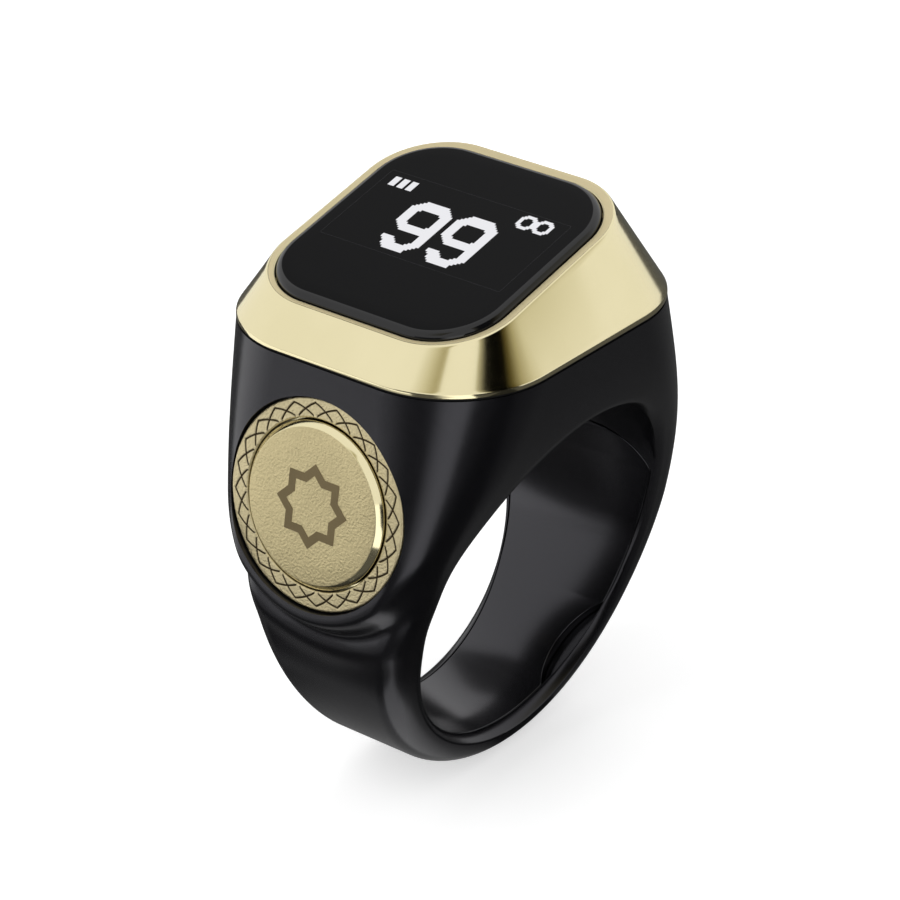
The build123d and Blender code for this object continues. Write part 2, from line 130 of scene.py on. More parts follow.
def full_turn(count: int) -> Array:
    """Evenly spaced angles of one whole turn, the last one not repeating the first."""
    return np.linspace(0.0, 2.0 * np.pi, count, endpoint=False)


def quarter_turn(count: int) -> Array:
    """Evenly spaced angles of a quarter turn with both its ends."""
    return np.linspace(0.0, np.pi / 2.0, count)


def tongue_outline(height: Array, top: float, corner: float, half: float) -> Array:
    """Half width of a tongue with round corners: half its flat end plus the corner circle's half chord.

    Args:
        height: Where to measure it.
        top: Height of its end.
        corner: Corner radius.
        half: Half the width of its flat end.

    Returns:
        Half widths.
    """
    rise = np.clip(height - (top - corner), 0.0, corner)
    return half + np.sqrt(np.maximum(corner ** 2 - rise ** 2, 0.0))


def grid_faces(rows: int, cols: int, close_rows: bool) -> Array:
    """Quads between neighbouring rings, whose points are numbered ring by ring.

    Args:
        rows: Number of rings.
        cols: Number of points in a ring, which closes on itself.
        close_rows: Join the last ring to the first.

    Returns:
        Corner numbers, one quad per line.
    """
    i = np.arange(rows if close_rows else rows - 1)[:, None]
    j = np.arange(cols)[None, :]
    next_i = (i + 1) % rows
    next_j = (j + 1) % cols
    corners = [i * cols + j, i * cols + next_j, next_i * cols + next_j, next_i * cols + j]
    return np.stack(corners, axis=-1).reshape(-1, 4)


def outward(points: Array, quads: Array) -> Array:
    """Turns all faces round where the enclosed volume, summed over their tetrahedra, is negative.

    Args:
        points: Vertex places.
        quads: Corner numbers.

    Returns:
        The faces, pointing outwards.
    """
    a, b, c, d = (points[quads[:, k]] for k in range(4))
    volume = np.einsum("ij,ij->i", a, np.cross(b, c)) + np.einsum("ij,ij->i", a, np.cross(c, d))
    return quads if volume.sum() > 0 else quads[:, ::-1]


def facing_along(points: Array, quads: Array, normal: Triple) -> Array:
    """Turns all faces of a flat sheet round where the first one's normal points the other way.

    Args:
        points: Vertex places.
        quads: Corner numbers.
        normal: Where the faces have to point.

    Returns:
        The faces, pointing that way.
    """
    a, b, c = points[quads[0, :3]]
    return quads if np.cross(b - a, c - b) @ np.array(normal) > 0 else quads[:, ::-1]


def looped(grid: Array) -> tuple[Array, Array]:
    """Surface of a tube whose last ring joins its first.

    Args:
        grid: Points, rings by points in a ring.

    Returns:
        Vertex places and corner numbers.
    """
    points = grid.reshape(-1, 3)
    return points, outward(points, grid_faces(grid.shape[0], grid.shape[1], True))


def capped(grid: Array) -> tuple[Array, list[list[int]]]:
    """Surface of a tube that is shut by its first and its last ring.

    Args:
        grid: Points, rings by points in a ring.

    Returns:
        Vertex places, and corner numbers of the wall and then of the two ends.
    """
    rows, cols = grid.shape[:2]
    points = grid.reshape(-1, 3)
    quads = outward(points, grid_faces(rows, cols, False))
    first = np.arange(cols)
    last = first + (rows - 1) * cols
    ends = (first[::-1], last) if quads[0, 1] == 1 else (first, last[::-1])
    return points, quads.tolist() + [end.tolist() for end in ends]


def rounded_rectangle(
    half_u: float, half_v: float, radius: float, side: int = 14, corner: int = 22
) -> Array:
    """Outline of a rounded rectangle, walked anticlockwise: four quarter arcs joined by straight runs.

    Args:
        half_u: Half its length along u.
        half_v: Half its length along v.
        radius: Corner radius.
        side: Points on each straight run.
        corner: Points on each arc.

    Returns:
        Points (u, v), the last one not repeating the first.
    """
    arcs = []
    for k, (su, sv) in enumerate(((1, 1), (-1, 1), (-1, -1), (1, -1))):
        centre = np.array([su * (half_u - radius), sv * (half_v - radius)])
        angle = quarter_turn(corner) + k * np.pi / 2.0
        arcs.append(centre + radius * np.stack([np.cos(angle), np.sin(angle)], -1))
    share = np.linspace(0.0, 1.0, side + 2)[1:-1, None]
    runs = []
    for k in range(4):
        start, end = arcs[k][-1], arcs[(k + 1) % 4][0]
        runs.append(np.concatenate([arcs[k], start + (end - start) * share]))
    return np.concatenate(runs)


def bend(a: Array, corner: Array, b: Array, steps: int) -> list[Array]:
    """Rounds a profile corner: quadratic Bezier from a to b with the corner as control point.

    Args:
        a: Ring before the corner.
        corner: Ring on the corner.
        b: Ring after it.
        steps: Number of rings.

    Returns:
        The rings from a to b.
    """
    ts = np.linspace(0.0, 1.0, steps)
    return [(1 - t) ** 2 * a + 2 * t * (1 - t) * corner + t ** 2 * b for t in ts]


@dataclass(frozen=True)
class TiltedPlane:
    """A working plane: its origin, its two directions and its outward normal, in millimetres."""

    origin: Triple
    along_u: Triple
    along_v: Triple
    normal: Triple

    def place(self, u: Array, v: Array, n: Array) -> Array:
        """Origin plus u, v and n times the three directions.

        Args:
            u: First coordinate.
            v: Second coordinate.
            n: Height over the plane.

        Returns:
            Points in the ring's frame.
        """
        u, v, n = np.broadcast_arrays(u, v, n)
        return (
            np.array(self.origin)
            + u[..., None] * np.array(self.along_u)
            + v[..., None] * np.array(self.along_v)
            + n[..., None] * np.array(self.normal)
        )

    def place_round(self, r: Array | float, phi: Array, n: Array) -> Array:
        """The same from polar coordinates: u is r times the cosine of phi, and v is r times its sine.

        Args:
            r: Distance from the origin.
            phi: Angle from u towards v.
            n: Height over the plane.

        Returns:
            Points in the ring's frame.
        """
        return self.place(r * np.cos(phi), r * np.sin(phi), n)

    def measure(self, points: Array) -> tuple[Array, Array, Array]:
        """The three coordinates of points: dot products with the plane's directions.

        Args:
            points: Points in the ring's frame.

        Returns:
            u, v and n.
        """
        rel = points - np.array(self.origin)
        return rel @ np.array(self.along_u), rel @ np.array(self.along_v), rel @ np.array(self.normal)


BUTTON_TILT = math.radians(10.2)
DISPLAY_TILT = math.radians(13.5)
BUTTON_PLANE = TiltedPlane(
    origin=(-12.5289, 0.0, 7.6504),
    along_u=(0.0, -1.0, 0.0),
    along_v=(math.sin(BUTTON_TILT), 0.0, math.cos(BUTTON_TILT)),
    normal=(-math.cos(BUTTON_TILT), 0.0, math.sin(BUTTON_TILT)),
)
DISPLAY_PLANE = TiltedPlane(
    origin=(-2.42, 0.0, 19.28),
    along_u=(math.cos(DISPLAY_TILT), 0.0, math.sin(DISPLAY_TILT)),
    along_v=(0.0, 1.0, 0.0),
    normal=(-math.sin(DISPLAY_TILT), 0.0, math.cos(DISPLAY_TILT)),
)


# Finishes


class NodeSketch:
    """Adds nodes to one material's tree and joins them."""

    def __init__(self, name: str) -> None:
        """Makes the material and finds its shader.

        Args:
            name: The material's name.
        """
        self.material = bpy.data.materials.new(name)
        self.material.use_nodes = True
        self.tree = self.material.node_tree
        self.shader = self.tree.nodes["Principled BSDF"]

    def node(self, kind: str, **values: object) -> bpy.types.Node:
        """One node with its inputs or properties set.

        Args:
            kind: Node type.
            values: Input names, with underscores for spaces, or properties.

        Returns:
            The node.
        """
        made = self.tree.nodes.new(kind)
        for key, value in values.items():
            label = key.replace("_", " ")
            if label in made.inputs:
                made.inputs[label].default_value = value
            else:
                setattr(made, key, value)
        return made

    def join(self, source: bpy.types.NodeSocket, target: bpy.types.NodeSocket) -> None:
        """Links two sockets."""
        self.tree.links.new(source, target)

    def set(self, socket: str, value: object) -> None:
        """Sets a constant on the shader's own socket."""
        self.shader.inputs[socket].default_value = value


@dataclass(frozen=True)
class Finish:
    """A surface: its colour drifts between two tones, and its roughness and height follow a fine grain."""

    name: str
    tone: Triple
    drift: Triple
    roughness: Pair
    metallic: float = 0.0
    specular: float = 0.5
    sheen_tint: Triple = (1.0, 1.0, 1.0)
    drift_mm: float = 4.0
    drift_span: Pair = (0.35, 0.65)
    grain_mm: float = 0.2
    grain_height_mm: float = 0.0
    grain_strength: float = 0.0

    def make(self) -> bpy.types.Material:
        """The finished material."""
        return self.sketch().material

    def sketch(self) -> NodeSketch:
        """Builds the nodes: two noises on Object coordinates, one for tone, one for roughness and bump.

        Returns:
            The node sketch, open for more nodes.
        """
        pen = NodeSketch(self.name)
        place = pen.node("ShaderNodeTexCoord")
        broad = pen.node("ShaderNodeTexNoise", Scale=1.0 / (self.drift_mm * MM), Detail=3.0)
        fine = pen.node("ShaderNodeTexNoise", Scale=1.0 / (self.grain_mm * MM), Detail=2.0)
        pen.join(place.outputs["Object"], broad.inputs["Vector"])
        pen.join(place.outputs["Object"], fine.inputs["Vector"])
        ramp = pen.node("ShaderNodeValToRGB")
        for k, colour in enumerate((self.tone, self.drift)):
            ramp.color_ramp.elements[k].color = (*colour, 1.0)
            ramp.color_ramp.elements[k].position = self.drift_span[k]
        pen.join(broad.outputs["Fac"], ramp.inputs["Fac"])
        pen.join(ramp.outputs["Color"], pen.shader.inputs["Base Color"])
        span = pen.node("ShaderNodeMapRange", To_Min=self.roughness[0], To_Max=self.roughness[1])
        pen.join(fine.outputs["Fac"], span.inputs["Value"])
        pen.join(span.outputs["Result"], pen.shader.inputs["Roughness"])
        if self.grain_strength > 0.0:
            height = self.grain_height_mm * MM
            relief = pen.node("ShaderNodeBump", Strength=self.grain_strength, Distance=height)
            pen.join(fine.outputs["Fac"], relief.inputs["Height"])
            pen.join(relief.outputs["Normal"], pen.shader.inputs["Normal"])
        pen.set("Metallic", self.metallic)
        pen.set("Specular IOR Level", self.specular)
        pen.set("Specular Tint", (*self.sheen_tint, 1.0))
        pen.shader.name = self.name
        return pen


@dataclass(frozen=True)
class EngravedFinish(Finish):
    """A finish whose engraving lines hold a dark fill and whose gap rows get painted shade, both marked by
    the mesh's own attribute.
    """

    # Dark fill of the engraving lines, and painted shade on the gap rows that the attribute marks.
    line_and_gap_shade_tone: Triple = (0.02, 0.015, 0.008)

    def make(self) -> bpy.types.Material:
        """Mixes the dark tone into the base colour by the attribute, for the engraving lines and for the
        painted gap shade.

        Returns:
            The material.
        """
        pen = self.sketch()
        mark = pen.node("ShaderNodeAttribute", attribute_name="engraved_and_gap_shade")
        mix = pen.node("ShaderNodeMix", data_type="RGBA")
        plain, line = (socket for socket in mix.inputs if socket.type == "RGBA")
        factor = next(socket for socket in mix.inputs if socket.type == "VALUE" and socket.name == "Factor")
        mixed = next(socket for socket in mix.outputs if socket.type == "RGBA")
        colour = pen.shader.inputs["Base Color"]
        line.default_value = (*self.line_and_gap_shade_tone, 1.0)
        pen.join(colour.links[0].from_socket, plain)
        pen.join(mark.outputs["Fac"], factor)
        pen.join(mixed, colour)
        return pen.material


@dataclass(frozen=True)
class LitFinish:
    """A lit display surface: near black but for its own light."""

    name: str
    light: Triple
    strength: float
    base: Triple = (0.01, 0.01, 0.01)
    roughness: float = 0.3

    def make(self) -> bpy.types.Material:
        """Sets the shader's emission over its dark base.

        Returns:
            The material.
        """
        pen = NodeSketch(self.name)
        pen.set("Base Color", (*self.base, 1.0))
        pen.set("Roughness", self.roughness)
        pen.set("Emission Color", (*self.light, 1.0))
        pen.set("Emission Strength", self.strength)
        return pen.material


@dataclass(frozen=True)
class GradedCard:
    """A card's face, shaded from side to side."""

    name: str
    stops: Stops
    warmth: float = 0.0
    green_share: float = 0.17

    def colour(self, grey: float) -> tuple[float, float, float, float]:
        """The card's colour: green and blue are powers of its grey, so a warm card yellows as it darkens.

        Args:
            grey: How light the card is.

        Returns:
            Red, green, blue and alpha.
        """
        return grey, grey ** (1.0 + self.green_share * self.warmth), grey ** (1.0 + self.warmth), 1.0

    def make(self) -> bpy.types.Material:
        """Ramps the emission along the card's own side-to-side attribute.

        Returns:
            The material.
        """
        pen = NodeSketch(self.name)
        pen.set("Base Color", (0.0, 0.0, 0.0, 1.0))
        pen.set("Specular IOR Level", 0.0)
        across = pen.node("ShaderNodeAttribute", attribute_name="across")
        ramp = pen.node("ShaderNodeValToRGB")
        marks = ramp.color_ramp.elements
        for mark, (place, grey) in zip((marks[0], marks[1]), (self.stops[0], self.stops[-1])):
            mark.position = place
            mark.color = self.colour(grey)
        for place, grey in self.stops[1:-1]:
            marks.new(place).color = self.colour(grey)
        pen.join(across.outputs["Fac"], ramp.inputs["Fac"])
        pen.join(ramp.outputs["Color"], pen.shader.inputs["Emission Color"])
        pen.set("Emission Strength", 1.0)
        return pen.material


GLOSS_BLACK = Finish(
    "gloss_black_shell", (0.0030, 0.0030, 0.0038), (0.0040, 0.0040, 0.0050), (0.21, 0.27),
    specular=0.52, sheen_tint=(0.93, 0.92, 1.0), grain_mm=0.5, drift_mm=6.0,
)
SATIN_BLACK = Finish(
    "satin_black_liner", (0.0036, 0.0036, 0.0042), (0.0048, 0.0048, 0.0056), (0.17, 0.23),
    specular=0.68, sheen_tint=(0.93, 0.92, 1.0),
    grain_mm=0.06, grain_height_mm=0.004, grain_strength=0.2,
)
GOLD_POLISHED = Finish(
    "champagne_gold_polished", (0.79, 0.712, 0.445), (0.82, 0.740, 0.470), (0.09, 0.14),
    metallic=1.0, grain_mm=0.3, drift_mm=5.0,
)
GOLD_LAND = Finish(
    "champagne_gold_land", (0.80, 0.70, 0.44), (0.84, 0.735, 0.465), (0.48, 0.56),
    metallic=1.0, grain_mm=0.1,
)
GOLD_SATIN = Finish(
    "champagne_gold_blasted", (0.60, 0.514, 0.292), (0.65, 0.557, 0.318), (0.40, 0.52),
    metallic=1.0, grain_mm=0.135, grain_height_mm=0.06, grain_strength=0.85, drift_mm=3.0,
)
GOLD_ENGRAVED = EngravedFinish(
    "champagne_gold_engraved", (0.62, 0.538, 0.328), (0.67, 0.581, 0.356), (0.36, 0.46),
    metallic=1.0, grain_mm=0.125, grain_height_mm=0.06, grain_strength=0.85, drift_mm=3.0,
    # Dark fill of the engraving lines, also painted shade on the trim ring's inner wall in the gap round
    # the cap.
    line_and_gap_shade_tone=(0.035, 0.024, 0.012),
)
STAR_OLIVE = Finish(
    "olive_inlay", (0.150, 0.112, 0.048), (0.172, 0.128, 0.056), (0.42, 0.52),
    metallic=0.4, grain_mm=0.11, grain_height_mm=0.015, grain_strength=0.3,
)
COVER_GLASS = Finish(
    "black_cover_glass", (0.0055, 0.0055, 0.0060), (0.0062, 0.0062, 0.0068), (0.04, 0.07),
    specular=0.44, grain_mm=2.0, drift_mm=8.0,
)
WINDOW_LINE = Finish(
    "window_line", (0.020, 0.020, 0.022), (0.026, 0.026, 0.028), (0.2, 0.3), specular=0.3,
)
PIXEL_WHITE = LitFinish("lit_pixel", (0.80, 0.80, 0.83), 1.0)
BLACK_RUBBER = Finish(
    "black_rubber", (0.006, 0.006, 0.006), (0.009, 0.009, 0.009), (0.6, 0.75),
    specular=0.25, grain_mm=0.1, grain_height_mm=0.01, grain_strength=0.3,
)
STEEL = Finish(
    "bright_steel", (0.55, 0.55, 0.56), (0.62, 0.62, 0.63), (0.22, 0.34), metallic=1.0, grain_mm=0.08,
)
CONTACT_GOLD = Finish(
    "contact_gold", (0.80, 0.60, 0.28), (0.84, 0.65, 0.33), (0.18, 0.28), metallic=1.0, grain_mm=0.1,
)
BOARD_GREEN = Finish(
    "solder_resist", (0.012, 0.10, 0.045), (0.016, 0.13, 0.06), (0.3, 0.42), grain_mm=0.3,
)
CHIP_BLACK = Finish(
    "moulded_epoxy", (0.014, 0.014, 0.015), (0.02, 0.02, 0.022), (0.5, 0.62),
    grain_mm=0.07, grain_height_mm=0.006, grain_strength=0.3,
)
FLEX_AMBER = Finish("polyimide_film", (0.38, 0.17, 0.03), (0.44, 0.21, 0.04), (0.25, 0.35))
CERAMIC = Finish("fired_ceramic", (0.66, 0.63, 0.56), (0.72, 0.69, 0.62), (0.45, 0.6), grain_mm=0.08)
CAPACITOR = Finish("capacitor_tan", (0.40, 0.28, 0.16), (0.46, 0.33, 0.2), (0.4, 0.5), grain_mm=0.08)
CELL_FOIL = Finish(
    "pouch_foil", (0.62, 0.63, 0.65), (0.7, 0.71, 0.73), (0.3, 0.42),
    metallic=1.0, grain_mm=0.3, grain_height_mm=0.03, grain_strength=0.4,
)
SWITCH_WHITE = Finish(
    "switch_moulding", (0.62, 0.61, 0.57), (0.68, 0.67, 0.63), (0.4, 0.5), grain_mm=0.1,
)


# Pieces


def add_object(name: str, data: bpy.types.ID) -> bpy.types.Object:
    """Links a new object to the scene.

    Args:
        name: Its name.
        data: Its mesh, lamp or camera.

    Returns:
        The object.
    """
    made = bpy.data.objects.new(name, data)
    bpy.context.scene.collection.objects.link(made)
    return made


def make_piece(
    name: str,
    points: Array,
    faces: list[list[int]],
    materials: Sequence[bpy.types.Material],
    body: Body,
    replaced: Sequence[str] = (),
    sharp_deg: float = 40.0,
    material_of_face: Optional[Array] = None,
) -> bpy.types.Object:
    """One finished piece at the origin, with its place in its mesh.

    Args:
        name: Piece name.
        points: Vertex places in millimetres.
        faces: Corner numbers.
        materials: Materials, in slot order.
        body: CAD body that it rides on.
        replaced: CAD nodes that it stands for.
        sharp_deg: Edges that fold by more than this stay sharp.
        material_of_face: Slot number of each face.

    Returns:
        The object.
    """
    mesh = bpy.data.meshes.new(name)
    mesh.from_pydata((points * MM).tolist(), [], faces)
    mesh.polygons.foreach_set("use_smooth", np.ones(len(faces), bool))
    if material_of_face is not None:
        mesh.polygons.foreach_set("material_index", material_of_face.astype(np.int32))
    mesh.update()
    mesh.set_sharp_from_angle(angle=math.radians(sharp_deg))
    for material in materials:
        mesh.materials.append(material)
    piece = add_object(name, mesh)
    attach(piece, body.value)
    if replaced:
        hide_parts(*replaced)
    LOG.info("%s: %d vertices, %d faces, on %s", name, len(points), len(faces), body.value)
    return piece


@dataclass
class RingBody:
    """The gloss black shell: band, head, housing with its rolled lip, finger bore and button bore."""

    # Finger bore and its rolled rim
    bore_r: float = 10.0
    rim_depth: float = 0.45
    rim_round: float = 0.35
    roll_least: float = 0.12
    roll_low: float = 0.55
    roll_high: float = 0.95

    # Outline: round below the finger axis, and stations against height for the rest
    band_r: float = 12.4
    foot_r: float = 11.8
    top_z: float = 14.95
    side_z: tuple[float, ...] = (0.0, 5.083, 10.3155, 14.95)
    right_x: tuple[float, ...] = (12.4, 11.85, 10.5, 9.25)
    left_x: tuple[float, ...] = (12.4, 12.2, 11.9, 11.5)
    width_z: tuple[float, ...] = (-14.0, -12.4, -5.58, 0.0, 5.083, 10.3155, 14.95)
    width_y: tuple[float, ...] = (3.44, 3.55, 4.25, 5.3, 6.7, 8.5, 9.4)
    corner_z: tuple[float, ...] = (-14.0, -7.0, 0.0, 5.083, 10.3155, 14.95)
    corner_r: tuple[float, ...] = (1.4, 1.4, 1.4, 2.2, 4.5, 6.0)

    # Groove that the liner snaps into
    groove_r: float = 10.65
    groove_inset: float = 0.36
    groove_land: float = 0.05
    groove_top: float = 4.5
    groove_corner: float = 4.0
    tongue_half: float = 1.8
    bare_half: float = 0.2

    # Button housing, its lip and the ridge below it
    boss_x: float = -12.8045
    boss_z: float = 7.7
    boss_fade: float = 5.0
    lip_r: float = 6.7
    lip_spread_deg: float = 35.0
    lip_roll: float = 0.95
    lip_width: float = 1.9
    ridge_at: float = 1.5
    ridge_w: float = 0.85
    ridge_h: float = 0.22
    ridge_from: float = 3.0
    ridge_ease: float = 3.5

    # Cavity under the bezel
    cavity_x: Pair = (-8.7, 7.2)
    cavity_half_y: float = 7.6
    cavity_floor: float = 11.6
    top_slack: float = 0.01

    # Button bore: its seat, the cells round it, and radius and depth of each step
    seat_r: float = 5.8
    seat_x: float = -9.5
    seat_depth: float = 1.5
    seat_cell: Pair = (0.18, 0.13)
    edge_step: Pair = (5.79, 0.10)
    bore_steps: Stops = (
        (5.76, 0.70), (5.126, 0.70), (5.126, 1.50), (2.55, 1.50), (2.55, 2.20), (1.35, 2.20),
        (1.35, 2.50), (1.03, 2.50), (1.03, 2.80), (2.10, 2.80), (2.10, 3.76), (0.25, 3.76),
    )

    # Rays: up the right side, round a top corner, over the top, down the button side, round the band
    right_rays: int = 60
    corner_rays: int = 22
    top_rays: int = 30
    button_rays: int = 172
    band_rays: int = 130
    button_end_deg: float = 205.0

    # Points of a section on the groove's floor, the lip, the rim, the side face and the outer wall
    section_points: tuple[int, ...] = (3, 6, 9, 31, 91)

    # Solving for the outline and for the housing's face
    far_r: float = 22.0
    halvings: int = 48
    newton_steps: int = 8

    def __post_init__(self) -> None:
        """Splines through the stations: sides, half width and corner radius against height."""
        self.round_r = (self.band_r ** 2 + self.foot_r ** 2) / (2.0 * self.foot_r)
        both_z = tuple(-z for z in self.side_z[:0:-1]) + self.side_z
        self.right_of = natural_spline(both_z, self.right_x[:0:-1] + self.right_x)
        self.left_of = natural_spline(both_z, self.left_x[:0:-1] + self.left_x)
        self.half_of = natural_spline(self.width_z, self.width_y)
        self.corner_of = natural_spline(self.corner_z, self.corner_r)

    def side_depth(self, x: Array, z: Array) -> Array:
        """Depth inside the outline: across to the nearer side above the finger axis, radial below it.

        Args:
            x: Places along X.
            z: Places along Z.

        Returns:
            Depth, zero on the outline.
        """
        across = np.minimum(self.right_of(z) - x, self.left_of(z) + x)
        return np.where(z >= 0.0, across, self.round_r - np.hypot(x, z - self.round_r + self.foot_r))

    def half_width(self, x: Array, z: Array) -> Array:
        """Half width along Y: the station's half width less the drop of a quarter-circle corner.

        Args:
            x: Places along X.
            z: Places along Z.

        Returns:
            Half widths.
        """
        r = self.corner_of(z)
        q = np.clip(r - self.side_depth(x, z), 0.0, r)
        return self.half_of(z) - (r - np.sqrt(np.maximum(r * r - q * q, 0.0)))

    def reach(self, theta: Array) -> Array:
        """Distance from the finger axis to the outline along each ray, found by halving an interval.

        Args:
            theta: Ray angles from +X towards +Z.

        Returns:
            Distances.
        """
        low = np.full_like(theta, self.bore_r)
        high = np.full_like(theta, self.far_r)
        for _ in range(self.halvings):
            mid = (low + high) / 2.0
            x, z = mid * np.cos(theta), mid * np.sin(theta)
            inside = (z < self.top_z) & (self.side_depth(x, z) > 0.0)
            low = np.where(inside, mid, low)
            high = np.where(inside, high, mid)
        return low

    def past_lip(self, points: Array) -> Array:
        """Distance past the button housing's lip, along the button's plane.

        The lip is a circle about the button closed upwards by its two tangents, so the distance past it is
        the largest of the tangents' distances.

        Args:
            points: Points in the ring's frame.

        Returns:
            Distances, negative on the housing.
        """
        u, v, _ = BUTTON_PLANE.measure(points)
        spread = math.radians(self.lip_spread_deg)
        angle = np.clip(np.arctan2(v, u), spread - np.pi, -spread)
        angle = np.where(v < 0.0, angle, np.where(u > 0.0, -spread, spread - np.pi))
        return u * np.cos(angle) + v * np.sin(angle) - self.lip_r

    def push_out_housing(self, points: Array) -> Array:
        """Moves the -X side out to the housing's sloping face.

        The move eases away past the lip and fades with depth. Below the lip a soft ridge follows it: a bell
        curve of the distance past the lip, eased in downwards.

        Args:
            points: Points of the plain ring.

        Returns:
            The points with the housing.
        """
        x, z = points[..., 0], points[..., 2]
        face = self.boss_x + (z - self.boss_z) * math.tan(BUTTON_TILT)
        rise = np.maximum(-self.left_of(z) - face, 0.0)
        past = self.past_lip(points)
        below = smootherstep((-BUTTON_PLANE.measure(points)[1] - self.ridge_from) / self.ridge_ease)
        ridge = self.ridge_h * below * np.exp(-((past - self.ridge_at) / self.ridge_w) ** 2)
        share = 1.0 - smootherstep((past + self.lip_roll) / self.lip_width)
        fade = smootherstep(1.0 - (x + self.left_of(z)) / self.boss_fade)
        out = points.copy()
        out[..., 0] = np.where(x < 0.0, x - (rise * share + ridge) * fade, x)
        return out

    def housing_height(self, u: Array, v: Array) -> Array:
        """Height of the -X side over the button's plane, by Newton's method along the plane's normal.

        The plain side lies in by the drop of its quarter-circle corner, before the housing is pushed out.

        Args:
            u: First coordinate on the button's plane.
            v: Second coordinate.

        Returns:
            Heights.
        """
        n = np.zeros_like(u)
        for _ in range(self.newton_steps):
            at = BUTTON_PLANE.place(u, v, n)
            y, z = at[..., 1], at[..., 2]
            r = self.corner_of(z)
            over = np.clip(np.abs(y) - self.half_of(z) + r, 0.0, r)
            plain = np.stack([r - np.sqrt(r * r - over * over) - self.left_of(z), y, z], -1)
            n = n + (self.push_out_housing(plain)[..., 0] - at[..., 0]) / BUTTON_PLANE.normal[0]
        return n

    def rim_roll(self, theta: Array) -> Array:
        """Width of the bore's rolled rim: least at the finger axis, growing with the square of the height.

        Args:
            theta: Ray angles.

        Returns:
            Widths along Y.
        """
        growth = np.where(np.sin(theta) < 0.0, self.roll_low, self.roll_high)
        return self.roll_least + growth * np.sin(theta) ** 2

    def inner_half_of(self, theta: Array) -> Array:
        """Half width of the bore inside its rolled rims.

        Args:
            theta: Ray angles.

        Returns:
            Half widths along Y.
        """
        rim = self.bore_r + self.rim_depth
        return self.half_width(rim * np.cos(theta), rim * np.sin(theta)) - self.rim_roll(theta)

    def ray_angles(self) -> Array:
        """Angles of the rays that carry the sections, densest round the head and the button.

        The rays over the top stand at equal turns of its corners' quarter circles, so that its outline is
        round there.

        Returns:
            Angles from +X towards +Z.
        """
        corner = float(self.corner_of(self.top_z))
        right, left = float(self.right_of(self.top_z)), -float(self.left_of(self.top_z))
        drop = corner * (1.0 - np.cos(quarter_turn(self.corner_rays)))
        middle = np.linspace(right - corner, left + corner, self.top_rays)[1:-1]
        across = np.concatenate([right - drop, middle, (left + drop)[::-1]])
        top = np.degrees(np.arctan2(self.top_z, across))
        return np.radians(np.concatenate([
            np.linspace(0.0, top[0], self.right_rays, endpoint=False),
            top,
            np.linspace(top[-1], self.button_end_deg, self.button_rays, endpoint=False)[1:],
            np.linspace(self.button_end_deg, 360.0, self.band_rays, endpoint=False),
        ]))

    def sections(self) -> Array:
        """One closed section per ray: groove floor, lip, rounded rim, side face, corner and outer wall.

        Returns:
            Points, rays by section.
        """
        on_floor, on_lip, on_rim, on_side, on_wall = self.section_points
        theta = self.ray_angles()[:, None]
        cos, sin = np.cos(theta), np.sin(theta)
        ones = np.ones_like(theta)
        height = self.bore_r * sin
        inner_half = self.inner_half_of(theta)
        tongue = tongue_outline(height, self.groove_top, self.groove_corner, self.tongue_half)
        widest = np.minimum(self.half_of(height) - self.groove_inset, inner_half - self.groove_land)
        grooved = height < self.groove_top
        groove_half = np.where(grooved, np.minimum(widest, tongue), self.bare_half)
        y_floor = groove_half * np.linspace(0.0, 1.0, on_floor)
        r_floor = np.where(grooved, self.groove_r, self.bore_r) * np.ones(on_floor)
        y_lip = groove_half + (inner_half - groove_half) * np.linspace(0.0, 1.0, on_lip)
        r_lip = self.bore_r * ones * np.ones(on_lip)
        flat = np.linspace(0.0, 1.0, on_rim)[1:]
        turn = flat * np.pi / 2.0
        y_rim = inner_half + self.rim_roll(theta) * (flat + self.rim_round * (np.sin(turn) - flat))
        r_rim = self.bore_r + self.rim_depth * (flat + self.rim_round * (1.0 - np.cos(turn) - flat)) * ones
        rim = self.bore_r + self.rim_depth
        edge = self.reach(theta[:, 0])[:, None]
        r_side = rim + (edge - rim) * (1.0 - (1.0 - np.linspace(0.0, 1.0, on_side)[1:]) ** 2)
        y_side = self.half_width(r_side * cos, r_side * sin)
        half_y = np.concatenate([y_floor, y_lip, y_rim, y_side], axis=1)
        half_r = np.concatenate([r_floor, r_lip, r_rim, r_side], axis=1)
        across = np.linspace(1.0, -1.0, on_wall)[1:-1]
        y = np.concatenate([-half_y, -half_y[:, -1:] * across, half_y[:, :0:-1]], axis=1)
        r = np.concatenate([half_r, edge * np.ones_like(across), half_r[:, :0:-1]], axis=1)
        points = np.stack([r * cos, y, r * sin], axis=-1)
        return self.sink_cavity(self.push_out_housing(points))

    def sink_cavity(self, points: Array) -> Array:
        """Lowers the points of the head's top that lie over the electronics to the cavity's floor.

        Args:
            points: Points of the shell.

        Returns:
            The points with the cavity.
        """
        x, y, z = points[..., 0], points[..., 1], points[..., 2]
        within = (x > self.cavity_x[0]) & (x < self.cavity_x[1]) & (np.abs(y) < self.cavity_half_y)
        out = points.copy()
        out[..., 2] = np.where(within & (z > self.top_z - self.top_slack), self.cavity_floor, z)
        return out

